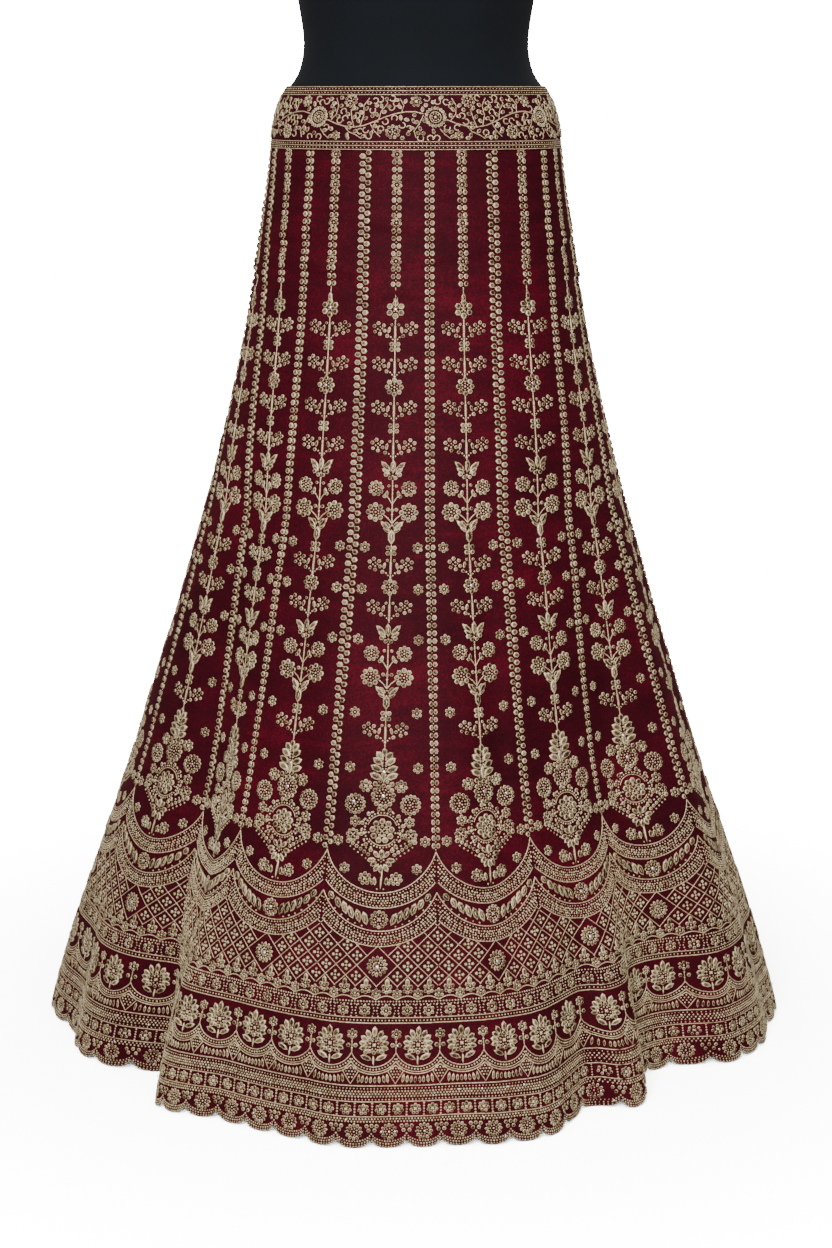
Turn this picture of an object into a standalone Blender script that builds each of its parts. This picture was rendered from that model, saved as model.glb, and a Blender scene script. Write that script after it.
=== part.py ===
"""A flared lehenga skirt on a limbless dress form, full size, standing on its base.

The skirt is cut from sixteen flared panels joined to a shaped waistband.
The cloth hangs in long soft flutes that deepen towards a scalloped hem.
Every piece of cloth is one closed solid with its own wall thickness.
"""
import math

import bpy
import numpy as np

# Driving sizes, metres. The front of the skirt faces -Y and +Z is up.
PANELS = 16
CLOTH_WALL = 0.0020
BAND_WALL = 0.0030
BAND_PROUD = 0.0010
SEAM_GAP = 0.0003
SEAT_GAP = 0.0003
BAND_TOP = 1.0640
BAND_FOOT = 0.9980
HEM_TIP = 0.0040
SCALLOP_DEPTH = 0.0090
SCALLOPS_A_PANEL = 4
# The middle of the waist, placed so that the hem's widest spread is centred.
CENTRE_X = 0.00185
CENTRE_Y = 0.0046

# The skirt without its flutes.
# Columns: height, half width, half depth in front, half depth behind.
SKIRT = [
    (0.000, 0.4255, 0.3860, 0.3860),
    (0.050, 0.4125, 0.3760, 0.3760),
    (0.124, 0.3901, 0.3590, 0.3590),
    (0.198, 0.3647, 0.3400, 0.3400),
    (0.270, 0.3395, 0.3200, 0.3200),
    (0.342, 0.3153, 0.3000, 0.3000),
    (0.413, 0.2942, 0.2790, 0.2800),
    (0.483, 0.2720, 0.2580, 0.2600),
    (0.552, 0.2520, 0.2380, 0.2410),
    (0.621, 0.2318, 0.2180, 0.2220),
    (0.688, 0.2147, 0.1980, 0.2030),
    (0.756, 0.1985, 0.1790, 0.1850),
    (0.822, 0.1847, 0.1610, 0.1680),
    (0.888, 0.1744, 0.1440, 0.1520),
    (0.920, 0.1695, 0.1365, 0.1440),
    (0.953, 0.1640, 0.1290, 0.1360),
    (0.998, 0.1580, 0.1200, 0.1260),
    (1.028, 0.1540, 0.1150, 0.1205),
    (1.038, 0.1511, 0.1122, 0.1175),
    (1.049, 0.1472, 0.1085, 0.1137),
    (1.060, 0.1418, 0.1035, 0.1085),
    (1.064, 0.1390, 0.1010, 0.1058),
]

# How far each direction stands out, as a share of the plain shape.
# Columns: angle from the front in degrees, share at knee height, share at the hem.
FLUTES = [
    (-172, 0.990, 0.985),
    (-158, 0.955, 0.950),
    (-144, 0.865, 0.850),
    (-136, 0.850, 0.820),
    (-128, 0.890, 0.930),
    (-116, 0.960, 0.985),
    (-104, 0.985, 1.000),
    (-94, 1.000, 1.012),
    (-88, 1.000, 0.995),
    (-79, 0.990, 0.945),
    (-69, 0.965, 0.962),
    (-62, 0.930, 0.919),
    (-57, 0.900, 0.854),
    (-53, 0.880, 0.817),
    (-50, 0.885, 0.835),
    (-47, 0.895, 0.905),
    (-43, 0.912, 0.963),
    (-37, 0.937, 0.968),
    (-32, 0.957, 0.950),
    (-25, 0.980, 0.967),
    (-18, 1.000, 0.980),
    (-10, 1.000, 1.008),
    (0, 1.000, 0.994),
    (7, 0.990, 0.982),
    (14, 0.960, 0.992),
    (19, 0.930, 0.988),
    (22, 0.918, 0.956),
    (27, 0.900, 0.885),
    (32, 0.885, 0.856),
    (35, 0.875, 0.910),
    (39, 0.862, 0.908),
    (43, 0.850, 0.850),
    (47, 0.846, 0.790),
    (51, 0.852, 0.784),
    (58, 0.900, 0.820),
    (63, 0.945, 0.911),
    (67, 0.985, 0.940),
    (73, 0.995, 0.968),
    (82, 0.995, 0.976),
    (89, 1.000, 0.998),
    (98, 0.995, 0.995),
    (108, 0.970, 0.960),
    (116, 0.915, 0.880),
    (124, 0.870, 0.835),
    (132, 0.880, 0.880),
    (142, 0.935, 0.960),
    (154, 0.975, 0.990),
    (166, 0.960, 0.930),
    (176, 0.965, 0.950),
]

# Where the sixteen seams run, in degrees from the front.
# Columns: seam number, angle at the waist, angle from the hips down.
SEAMS = [
    (-3, -72.8, -52.5),
    (-2, -44.6, -36.6),
    (-1, -19.3, -16.0),
    (0, 5.1, 3.6),
    (1, 30.0, 23.4),
    (2, 59.1, 46.0),
    (3, 82.0, 66.5),
    (4, 102.5, 88.0),
    (5, 123.0, 111.5),
    (6, 143.5, 135.5),
    (7, 164.0, 159.5),
    (8, 184.5, 183.5),
    (9, 205.0, 208.0),
    (10, 225.5, 233.0),
    (11, 246.0, 258.5),
    (12, 266.5, 283.5),
    (13, 287.2, 307.5),
]
SEAM_SETTLE = 0.621

# Heights of the cross rows of a panel, from the waistband down.
ROWS_WIDE = [0.9977, 0.955, 0.910, 0.860, 0.800, 0.740, 0.670, 0.600, 0.530,
             0.460, 0.390, 0.320, 0.260, 0.205, 0.155, 0.110, 0.075]
ROWS_FINE = [0.045, 0.020]
BAND_ROWS = [BAND_TOP, 1.060, 1.049, 1.036, 1.017, BAND_FOOT]

# The dress form, with as many sides as the waistband has columns.
FORM_SIDES = 40
# Columns: height, half width, depth in front, depth behind.
FORM = [
    (0.8000, 0.1540, 0.1080, 0.1180),
    (0.8300, 0.1610, 0.1150, 0.1290),
    (0.8700, 0.1655, 0.1200, 0.1370),
    (0.9000, 0.1665, 0.1245, 0.1400),
    (0.9300, 0.1650, 0.1280, 0.1365),
]
FORM_ABOVE = [
    (1.0720, 0.1305, 0.0945, 0.0985),
    (1.0910, 0.1234, 0.0900, 0.0905),
    (1.1120, 0.1214, 0.0885, 0.0850),
    (1.1330, 0.1238, 0.0895, 0.0845),
    (1.1540, 0.1272, 0.0915, 0.0865),
    (1.2000, 0.1355, 0.0965, 0.0940),
    (1.2500, 0.1425, 0.1010, 0.1030),
    (1.3000, 0.1475, 0.1020, 0.1090),
    (1.3500, 0.1540, 0.0950, 0.1110),
    (1.4000, 0.1640, 0.0850, 0.1080),
    (1.4350, 0.1700, 0.0760, 0.1000),
    (1.4600, 0.1650, 0.0680, 0.0900),
    (1.4780, 0.1440, 0.0620, 0.0790),
    (1.4930, 0.1130, 0.0580, 0.0690),
    (1.5080, 0.0830, 0.0560, 0.0610),
    (1.5240, 0.0640, 0.0550, 0.0560),
    (1.5450, 0.0565, 0.0545, 0.0545),
    (1.5700, 0.0545, 0.0540, 0.0540),
]
BUST_HEIGHT = 1.2900
BUST_APART = 0.0720
BUST_OUT = 0.0300
BUST_SPREAD = 0.0560

CAP_RADIUS = 0.0500
CAP_EDGE = 0.0080
CAP_RISE = 0.0120
POLE_RADIUS = 0.0170
BASE_RADIUS = 0.1900
BASE_THICK = 0.0060
COLLAR_RADIUS = 0.0420
COLLAR_RISE = 0.0260


def clear_objects():
    for item in list(bpy.data.objects):
        bpy.data.objects.remove(item, do_unlink=True)


def soft_curve(x, xs, ys):
    """Smooth curve through a table, with slopes taken from the neighbours."""
    x = np.asarray(x, dtype=float)
    xs = np.asarray(xs, dtype=float)
    ys = np.asarray(ys, dtype=float)
    slopes = np.gradient(ys, xs)
    i = np.clip(np.searchsorted(xs, x) - 1, 0, len(xs) - 2)
    gap = xs[i + 1] - xs[i]
    f = np.clip((x - xs[i]) / gap, 0.0, 1.0)
    f2 = f * f
    f3 = f2 * f
    low = ys[i] * (2 * f3 - 3 * f2 + 1) + slopes[i] * gap * (f3 - 2 * f2 + f)
    high = ys[i + 1] * (3 * f2 - 2 * f3) + slopes[i + 1] * gap * (f3 - f2)
    return low + high


def ramp(x, start, end):
    f = np.clip((np.asarray(x, dtype=float) - start) / (end - start), 0.0, 1.0)
    return f * f * (3.0 - 2.0 * f)


SKIRT_Z = [row[0] for row in SKIRT]
SKIRT_W = [row[1] for row in SKIRT]
SKIRT_F = [row[2] for row in SKIRT]
SKIRT_B = [row[3] for row in SKIRT]
TURN_ANGLE = [row[0] - 360 for row in FLUTES] + [row[0] for row in FLUTES]
TURN_ANGLE = TURN_ANGLE + [row[0] + 360 for row in FLUTES]
TURN_KNEE = [row[1] for row in FLUTES] * 3
TURN_HEM = [row[2] for row in FLUTES] * 3
SEAM_U = [row[0] for row in SEAMS]
SEAM_TOP = [row[1] for row in SEAMS]
SEAM_LOW = [row[2] for row in SEAMS]


def flute(angle, z):
    """Share of the plain shape at one angle and height."""
    turned = (np.asarray(angle, dtype=float) + 180.0) % 360.0 - 180.0
    knee = soft_curve(turned, TURN_ANGLE, TURN_KNEE)
    hem = soft_curve(turned, TURN_ANGLE, TURN_HEM)
    long_part = ramp(z, 0.740, 0.320)
    hem_part = ramp(z, 0.260, 0.020)
    return 1.0 + (knee - 1.0) * long_part + (hem - knee) * hem_part


def seam_angle(u, z):
    """Angle from the front for a place counted in panels round the skirt."""
    u = np.asarray(u, dtype=float)
    turns = np.floor((u + 3.0) / PANELS)
    place = u - turns * PANELS
    top = np.interp(place, SEAM_U, SEAM_TOP)
    low = np.interp(place, SEAM_U, SEAM_LOW)
    share = np.clip((np.asarray(z, dtype=float) - SEAM_SETTLE) / (BAND_FOOT - SEAM_SETTLE), 0.0, 1.0)
    return low + (top - low) * share + turns * 360.0


def ring_point(angle, z, grow=0.0):
    """Outer face of the cloth at one angle and height, as x, y, z."""
    angle = np.asarray(angle, dtype=float)
    z = np.asarray(z, dtype=float) + 0.0 * angle
    turn = np.radians(angle)
    wide = soft_curve(z, SKIRT_Z, SKIRT_W) + grow
    front = soft_curve(z, SKIRT_Z, SKIRT_F) + grow
    back = soft_curve(z, SKIRT_Z, SKIRT_B) + grow
    deep = np.where(np.cos(turn) > 0.0, front, back)
    share = flute(angle, z)
    x = wide * np.sin(turn) * share
    y = -deep * np.cos(turn) * share
    return np.stack([x + CENTRE_X, y + CENTRE_Y, z], axis=-1)


def panel_point(u, z, grow=0.0):
    return ring_point(seam_angle(u, z), z, grow)


def outward(point_of, first, second):
    """Unit normal of a surface given by two counts, facing out of the skirt."""
    step = 1e-4
    along = point_of(first + step, second) - point_of(first - step, second)
    down = point_of(first, second - step) - point_of(first, second + step)
    normal = np.cross(down, along)
    length = np.linalg.norm(normal, axis=-1, keepdims=True)
    return normal / np.maximum(length, 1e-12)


def hem_height(u):
    """Height of the scalloped edge, with the cusps between scallops standing up."""
    place = np.asarray(u, dtype=float) * SCALLOPS_A_PANEL
    across = 2.0 * (place - np.floor(place)) - 1.0
    bow = 1.0 - np.sqrt(np.maximum(0.0, 1.0 - across * across))
    return HEM_TIP + SCALLOP_DEPTH * bow


def make_material(name, colour, rough, metal=0.0, sheen=0.0):
    material = bpy.data.materials.new(name)
    material.use_nodes = True
    shader = material.node_tree.nodes["Principled BSDF"]
    shader.inputs["Base Color"].default_value = (colour[0], colour[1], colour[2], 1.0)
    shader.inputs["Roughness"].default_value = rough
    shader.inputs["Metallic"].default_value = metal
    shader.inputs["Sheen Weight"].default_value = sheen
    material.diffuse_color = (colour[0], colour[1], colour[2], 1.0)
    return material


def make_object(name, points, faces, material):
    mesh = bpy.data.meshes.new(name)
    mesh.from_pydata([tuple(float(c) for c in p) for p in points], [], faces)
    mesh.validate()
    mesh.update()
    mesh.materials.append(material)
    item = bpy.data.objects.new(name, mesh)
    bpy.context.scene.collection.objects.link(item)
    return item


def wall_faces(rows, outer_start, inner_start):
    """Faces of a closed wall from rows of point numbers, outer then inner skin.

    Each row is a list of numbers counted from the start of its skin.
    A row with twice the columns of the one above is joined by five-sided faces.
    """
    faces = []
    for top, foot in zip(rows[:-1], rows[1:]):
        step = (len(foot) - 1) // (len(top) - 1)
        for c in range(len(top) - 1):
            under = [foot[c * step + k] for k in range(step + 1)]
            ring = [top[c]] + under + [top[c + 1]]
            faces.append([outer_start + n for n in ring])
            faces.append([inner_start + n for n in reversed(ring)])
        faces.append([outer_start + top[0], inner_start + top[0],
                      inner_start + foot[0], outer_start + foot[0]])
        faces.append([outer_start + top[-1], outer_start + foot[-1],
                      inner_start + foot[-1], inner_start + top[-1]])
    first = rows[0]
    last = rows[-1]
    for c in range(len(first) - 1):
        faces.append([outer_start + first[c], outer_start + first[c + 1],
                      inner_start + first[c + 1], inner_start + first[c]])
    for c in range(len(last) - 1):
        faces.append([outer_start + last[c + 1], outer_start + last[c],
                      inner_start + last[c], inner_start + last[c + 1]])
    return faces


def panel_span(index, columns, z):
    """Panel places across one row, with half of the seam gap left at each side."""
    u = index + np.linspace(0.0, 1.0, columns + 1)
    edge = panel_point(np.array([index, index + 1.0]), z)
    width = np.linalg.norm(edge[1] - edge[0])
    trim = 0.5 * SEAM_GAP / width
    u[0] = u[0] + trim
    u[-1] = u[-1] - trim
    return u


def make_panel(name, index, material):
    outer = []
    inner = []
    rows = []
    plan = [(z, 8) for z in ROWS_WIDE] + [(z, 16) for z in ROWS_FINE] + [(None, 16)]
    for height, columns in plan:
        u = panel_span(index, columns, 0.02 if height is None else height)
        z = hem_height(u) if height is None else np.full(len(u), height)
        face = panel_point(u, z)
        normal = outward(panel_point, u, z)
        back = face - normal * CLOTH_WALL
        back[:, 2] = z
        start = len(outer)
        outer.extend(face)
        inner.extend(back)
        rows.append([start + k for k in range(columns + 1)])
    faces = wall_faces(rows, 0, len(outer))
    return make_object(name, outer + inner, faces, material)


def set_off(angles, height, distance):
    """The skirt line at one height moved out level by a distance."""
    z = np.full(len(angles), height)
    face = ring_point(angles, z)
    side = ring_point(angles + 0.01, z) - ring_point(angles - 0.01, z)
    normal = np.stack([side[:, 1], -side[:, 0], 0.0 * side[:, 0]], axis=-1)
    normal = normal / np.linalg.norm(normal, axis=-1, keepdims=True)
    return face + normal * distance


def make_band(name, start_angle, end_angle, material):
    outer = []
    inner = []
    rows = []
    columns = FORM_SIDES // 2
    trim = math.degrees(0.5 * SEAM_GAP / 0.15)
    angles = np.linspace(start_angle, end_angle, columns + 1)
    angles[0] = angles[0] + trim
    angles[-1] = angles[-1] - trim
    for height in BAND_ROWS:
        face = set_off(angles, height, BAND_PROUD)
        back = set_off(angles, height, BAND_PROUD - BAND_WALL)
        first = len(outer)
        outer.extend(face)
        inner.extend(back)
        rows.append([first + k for k in range(columns + 1)])
    faces = wall_faces(rows, 0, len(outer))
    return make_object(name, outer + inner, faces, material)


def lathe(name, rings, material, closed_top=True):
    """Closed solid from rings of points of equal count, foot first."""
    count = len(rings[0])
    points = [p for ring in rings for p in ring]
    faces = []
    for r in range(len(rings) - 1):
        for c in range(count):
            d = (c + 1) % count
            faces.append([r * count + c, r * count + d,
                          (r + 1) * count + d, (r + 1) * count + c])
    faces.append([c for c in reversed(range(count))])
    last = (len(rings) - 1) * count
    faces.append([last + c for c in range(count)])
    return make_object(name, points, faces, material)


def free_ring(height, wide, front, back):
    """One level of the form where no cloth lies on it, with the bust added."""
    ring = []
    for c in range(FORM_SIDES):
        turn = 2.0 * math.pi * c / FORM_SIDES
        ahead = max(0.0, math.cos(turn))
        x = wide * math.sin(turn)
        y = -(front if ahead > 0.0 else back) * math.cos(turn)
        for side in (-1.0, 1.0):
            off = (x - side * BUST_APART) ** 2 + (height - BUST_HEIGHT) ** 2
            y = y - BUST_OUT * math.exp(-off / (BUST_SPREAD ** 2)) * ahead
        ring.append((x + CENTRE_X, y + CENTRE_Y, height))
    return ring


def make_torso(material):
    """The form fits the inside of the waistband and of the cloth at the hips."""
    angles = np.arange(FORM_SIDES) * 360.0 / FORM_SIDES
    under = BAND_PROUD - BAND_WALL - SEAT_GAP
    rings = [free_ring(*row) for row in FORM]
    for height in [0.955] + BAND_ROWS[::-1]:
        rings.append([tuple(p) for p in set_off(angles, height, under)])
    rings = rings + [free_ring(*row) for row in FORM_ABOVE]
    return lathe("form_torso", rings, material)


def turned(name, profile, count, material):
    """Closed turned solid from radius and height pairs, foot first."""
    rings = []
    for radius, height in profile:
        ring = []
        for c in range(count):
            turn = 2.0 * math.pi * c / count
            ring.append((radius * math.sin(turn) + CENTRE_X,
                         -radius * math.cos(turn) + CENTRE_Y, height))
        rings.append(ring)
    return lathe(name, rings, material)


def make_form(jersey, wood, steel):
    make_torso(jersey)
    neck = FORM_ABOVE[-1][0] + SEAT_GAP
    cap = [(CAP_RADIUS - 0.002, neck), (CAP_RADIUS, neck + 0.002),
           (CAP_RADIUS, neck + CAP_EDGE), (CAP_RADIUS * 0.86, neck + CAP_EDGE + CAP_RISE * 0.5),
           (CAP_RADIUS * 0.55, neck + CAP_EDGE + CAP_RISE * 0.86),
           (CAP_RADIUS * 0.16, neck + CAP_EDGE + CAP_RISE)]
    turned("form_neck_cap", cap, 32, wood)
    pole_foot = BASE_THICK + COLLAR_RISE + SEAT_GAP
    pole_top = FORM[0][0] - SEAT_GAP
    turned("form_pole", [(POLE_RADIUS, pole_foot), (POLE_RADIUS, pole_top)], 24, steel)
    base = [(BASE_RADIUS - 0.001, 0.0), (BASE_RADIUS, 0.001),
            (BASE_RADIUS, BASE_THICK - 0.002), (BASE_RADIUS - 0.002, BASE_THICK),
            (COLLAR_RADIUS, BASE_THICK), (COLLAR_RADIUS - 0.004, BASE_THICK + 0.008),
            (0.0260, BASE_THICK + 0.016), (0.0245, BASE_THICK + COLLAR_RISE)]
    turned("form_base", base, 48, steel)


def build():
    clear_objects()
    velvet = make_material("silk velvet", (0.070, 0.006, 0.013), 0.62, sheen=0.4)
    banding = make_material("silk velvet band", (0.080, 0.010, 0.014), 0.60, sheen=0.3)
    jersey = make_material("form jersey", (0.012, 0.014, 0.017), 0.80)
    wood = make_material("form turned wood", (0.030, 0.022, 0.016), 0.45)
    steel = make_material("form painted steel", (0.020, 0.021, 0.023), 0.40)
    for k in range(PANELS):
        make_panel("kali_%02d" % (k + 1), k - 3, velvet)
    make_band("waistband_front", -90.0, 90.0, banding)
    make_band("waistband_back", 90.0, 270.0, banding)
    make_form(jersey, wood, steel)


build()
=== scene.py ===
"""A maroon velvet lehenga skirt with antique gold thread work, on a limbless dress form."""
import math
import random

import bmesh
import bpy
import numpy as np
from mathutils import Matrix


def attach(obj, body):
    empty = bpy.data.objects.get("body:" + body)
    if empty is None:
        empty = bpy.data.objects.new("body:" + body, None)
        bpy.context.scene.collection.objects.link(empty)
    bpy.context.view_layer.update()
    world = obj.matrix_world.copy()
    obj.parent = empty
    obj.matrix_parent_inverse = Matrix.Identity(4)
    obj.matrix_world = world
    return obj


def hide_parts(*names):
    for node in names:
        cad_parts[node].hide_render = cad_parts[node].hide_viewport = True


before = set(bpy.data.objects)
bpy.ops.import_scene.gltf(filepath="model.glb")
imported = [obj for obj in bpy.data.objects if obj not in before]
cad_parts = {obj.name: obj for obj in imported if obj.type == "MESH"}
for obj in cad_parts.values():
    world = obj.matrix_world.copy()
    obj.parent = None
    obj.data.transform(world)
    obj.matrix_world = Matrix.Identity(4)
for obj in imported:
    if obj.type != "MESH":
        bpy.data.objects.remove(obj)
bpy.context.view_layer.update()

# The sixteen velvet panels.
# Each is silk velvet cut narrow at the waist and wide at the hem, and seamed to its
# neighbours. From the hips down the cloth hangs in long flutes to a scalloped edge.
PANELS = 16
BAND_FOOT = 0.998
HEM_TIP = 0.0014
SCALLOPS_A_PANEL = 4
SCALLOP_DEPTH = 0.0095
VELVET_THICK = 0.0016
# Below this height the seams keep their angle.
SEAM_SETTLE = 0.621
CENTRE = np.array([0.00185, 0.0046, 0.0])

# Columns: height, half width, half depth in front, half depth behind.
FALL = np.array([
    (0.0, 0.4255, 0.386, 0.386), (0.05, 0.4125, 0.376, 0.376),
    (0.124, 0.3901, 0.359, 0.359), (0.198, 0.3647, 0.34, 0.34),
    (0.27, 0.3395, 0.32, 0.32), (0.342, 0.3153, 0.3, 0.3),
    (0.413, 0.2942, 0.279, 0.28), (0.483, 0.272, 0.258, 0.26),
    (0.552, 0.252, 0.238, 0.241), (0.621, 0.2318, 0.218, 0.222),
    (0.688, 0.2147, 0.198, 0.203), (0.756, 0.1985, 0.179, 0.185),
    (0.822, 0.1847, 0.161, 0.168), (0.888, 0.1744, 0.144, 0.152),
    (0.92, 0.1695, 0.1365, 0.144), (0.953, 0.164, 0.129, 0.136),
    (0.998, 0.158, 0.12, 0.126), (1.028, 0.154, 0.115, 0.1205),
    (1.038, 0.1511, 0.1122, 0.1175), (1.049, 0.1472, 0.1085, 0.1137),
    (1.06, 0.1418, 0.1035, 0.1085), (1.064, 0.139, 0.101, 0.1058)])

# Columns: degrees from the front, share of the plain shape at the knee and at the hem.
FLUTES = np.array([
    (-172, 0.99, 0.985), (-158, 0.955, 0.95), (-144, 0.865, 0.85), (-136, 0.85, 0.82),
    (-128, 0.89, 0.93), (-116, 0.96, 0.985), (-104, 0.985, 1.0), (-94, 1.0, 1.012),
    (-88, 1.0, 0.995), (-79, 0.99, 0.945), (-69, 0.965, 0.962), (-62, 0.93, 0.919),
    (-57, 0.9, 0.854), (-53, 0.88, 0.817), (-50, 0.885, 0.835), (-47, 0.895, 0.905),
    (-43, 0.912, 0.963), (-37, 0.937, 0.968), (-32, 0.957, 0.95), (-25, 0.98, 0.967),
    (-18, 1.0, 0.98), (-10, 1.0, 1.008), (0, 1.0, 0.994), (7, 0.99, 0.982),
    (14, 0.96, 0.992), (19, 0.93, 0.988), (22, 0.918, 0.956), (27, 0.9, 0.885),
    (32, 0.885, 0.856), (35, 0.875, 0.91), (39, 0.862, 0.908), (43, 0.85, 0.85),
    (47, 0.846, 0.79), (51, 0.852, 0.784), (58, 0.9, 0.82), (63, 0.945, 0.911),
    (67, 0.985, 0.94), (73, 0.995, 0.968), (82, 0.995, 0.976), (89, 1.0, 0.998),
    (98, 0.995, 0.995), (108, 0.97, 0.96), (116, 0.915, 0.88), (124, 0.87, 0.835),
    (132, 0.88, 0.88), (142, 0.935, 0.96), (154, 0.975, 0.99), (166, 0.96, 0.93),
    (176, 0.965, 0.95)])

# Columns: seam number, degrees from the front at the waist, and from the hips down.
SEAMS = np.array([
    (-3, -72.8, -52.5), (-2, -44.6, -36.6), (-1, -19.3, -16.0), (0, 5.1, 3.6),
    (1, 30.0, 23.4), (2, 59.1, 46.0), (3, 82.0, 66.5), (4, 102.5, 88.0),
    (5, 123.0, 111.5), (6, 143.5, 135.5), (7, 164.0, 159.5), (8, 184.5, 183.5),
    (9, 205.0, 208.0), (10, 225.5, 233.0), (11, 246.0, 258.5), (12, 266.5, 283.5),
    (13, 287.2, 307.5)])

# Soft upright folds between the big flutes.
# Columns: place at the hem in panels, lean in panels, top height, width in panels, rise.
SOFT_FOLDS = np.array([
    (-2.62, 0.1, 0.46, 0.16, -0.004), (-2.2, -0.05, 0.62, 0.22, 0.0035),
    (-1.55, 0.12, 0.7, 0.2, -0.003), (-0.86, 0.04, 0.55, 0.16, 0.0025),
    (-0.28, -0.1, 0.78, 0.24, -0.0028), (0.3, 0.06, 0.52, 0.2, 0.003),
    (0.72, -0.06, 0.72, 0.2, -0.0034), (1.34, 0.1, 0.6, 0.18, -0.0032),
    (1.78, 0.02, 0.5, 0.16, 0.003), (2.35, -0.08, 0.66, 0.22, -0.0036),
    (2.9, 0.05, 0.48, 0.18, 0.0035), (3.6, 0.1, 0.74, 0.24, -0.0035),
    (4.45, -0.06, 0.58, 0.22, 0.0032), (5.3, 0.08, 0.7, 0.24, -0.0038),
    (6.25, 0.04, 0.52, 0.22, 0.003), (7.1, -0.1, 0.76, 0.26, -0.0034),
    (7.95, 0.06, 0.6, 0.22, 0.0036), (8.75, -0.04, 0.68, 0.24, -0.0036),
    (9.6, 0.1, 0.5, 0.2, 0.003), (10.4, -0.08, 0.74, 0.26, -0.0038),
    (11.35, 0.04, 0.56, 0.22, 0.0034), (12.25, 0.06, 0.66, 0.22, -0.0034),
    (12.8, -0.05, 0.48, 0.16, 0.003)])

# Short level creases where the cloth is drawn over the hips.
# Columns: place in panels, height, half length in panels, tilt in metres a panel, rise.
HIP_CREASES = np.array([
    (-2.4, 0.905, 0.6, 0.01, 0.0016), (-1.6, 0.872, 0.8, -0.006, 0.0018),
    (-1.5, 0.938, 0.5, 0.004, 0.0012), (-0.6, 0.918, 0.7, -0.008, 0.0015),
    (-0.5, 0.848, 0.6, 0.005, 0.0014), (0.4, 0.887, 0.9, 0.007, 0.0018),
    (0.5, 0.95, 0.5, -0.004, 0.0011), (1.3, 0.862, 0.6, -0.01, 0.0016),
    (1.5, 0.925, 0.7, 0.006, 0.0014), (2.4, 0.896, 0.8, 0.012, 0.0018),
    (3.4, 0.858, 0.7, -0.008, 0.0015), (4.6, 0.915, 0.9, 0.006, 0.0017),
    (5.7, 0.878, 0.7, 0.009, 0.0016), (6.9, 0.93, 0.8, -0.006, 0.0014),
    (7.8, 0.868, 0.9, 0.005, 0.0018), (9.1, 0.905, 0.7, -0.009, 0.0016),
    (10.2, 0.882, 0.9, 0.008, 0.0017), (11.4, 0.922, 0.7, 0.006, 0.0014),
    (12.4, 0.865, 0.7, -0.007, 0.0017)])
HIP_CREASE_WIDE = 0.008
HIP_CREASE_DEPTH = 2.2
SEAM_DIP = 0.0009
SEAM_DIP_WIDE = 0.035


def smooth_table(x, xs, ys):
    """Smooth curve through a table, with slopes taken from the neighbours."""
    slopes = np.gradient(ys, xs)
    i = np.clip(np.searchsorted(xs, x) - 1, 0, len(xs) - 2)
    gap = xs[i + 1] - xs[i]
    f = np.clip((x - xs[i]) / gap, 0.0, 1.0)
    f2 = f * f
    f3 = f2 * f
    low = ys[i] * (2 * f3 - 3 * f2 + 1) + slopes[i] * gap * (f3 - 2 * f2 + f)
    high = ys[i + 1] * (3 * f2 - 2 * f3) + slopes[i + 1] * gap * (f3 - f2)
    return low + high


def ramp(x, start, end):
    f = np.clip((x - start) / (end - start), 0.0, 1.0)
    return f * f * (3.0 - 2.0 * f)


def round_body(table, turn, z):
    """Places across and forward on a body, from a table of its width and depths by height."""
    wide, front, back = (smooth_table(z, table[:, 0], table[:, n]) for n in (1, 2, 3))
    deep = np.where(np.cos(turn) > 0.0, front, back)
    return wide * np.sin(turn), -deep * np.cos(turn)


FLUTES_ROUND = np.concatenate([FLUTES - (360, 0, 0), FLUTES, FLUTES + (360, 0, 0)])


def ring_point(angle, z):
    """The hanging cloth without creases, by degrees from the front and height."""
    turned = (angle + 180.0) % 360.0 - 180.0
    knee, hem = (smooth_table(turned, FLUTES_ROUND[:, 0], FLUTES_ROUND[:, n]) for n in (1, 2))
    share = 1.0 + (knee - 1.0) * ramp(z, 0.74, 0.32) + (hem - knee) * ramp(z, 0.26, 0.02)
    turn = np.radians(angle)
    x, y = round_body(FALL, turn, z)
    return np.stack([x * share, y * share, z + 0.0 * turn], axis=-1) + CENTRE


def seam_angle(u, z):
    """Degrees from the front for a place counted in panels round the skirt."""
    turns = np.floor((u + 3.0) / PANELS)
    place = u - turns * PANELS
    top = np.interp(place, SEAMS[:, 0], SEAMS[:, 1])
    low = np.interp(place, SEAMS[:, 0], SEAMS[:, 2])
    share = np.clip((z - SEAM_SETTLE) / (BAND_FOOT - SEAM_SETTLE), 0.0, 1.0)
    return low + (top - low) * share + turns * 360.0


def plain_point(u, z):
    return ring_point(seam_angle(u, z), z)


def shortest(gap):
    """The shorter way round the skirt, in panels."""
    return (gap + 0.5 * PANELS) % PANELS - 0.5 * PANELS


def crease(u, z):
    """How far the creases lift the cloth off its plain form, in metres."""
    lift = np.zeros_like(u + z)
    for place, lean, top, width, rise in SOFT_FOLDS:
        off = shortest(u - place - lean * (1.0 - z / top)) / width
        lift = lift + rise * np.exp(-off * off) * ramp(z, top, top - 0.3)
    for place, height, half, tilt, rise in HIP_CREASES:
        along = shortest(u - place)
        off = (z - height - tilt * along) / HIP_CREASE_WIDE
        fade = np.exp(-off * off) * np.exp(-(along / half) ** 2)
        lift = lift + HIP_CREASE_DEPTH * rise * off * fade
    return lift - SEAM_DIP * np.exp(-((u - np.round(u)) / SEAM_DIP_WIDE) ** 2)


def unit(vectors):
    return vectors / np.maximum(np.linalg.norm(vectors, axis=-1, keepdims=True), 1e-12)


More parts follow.
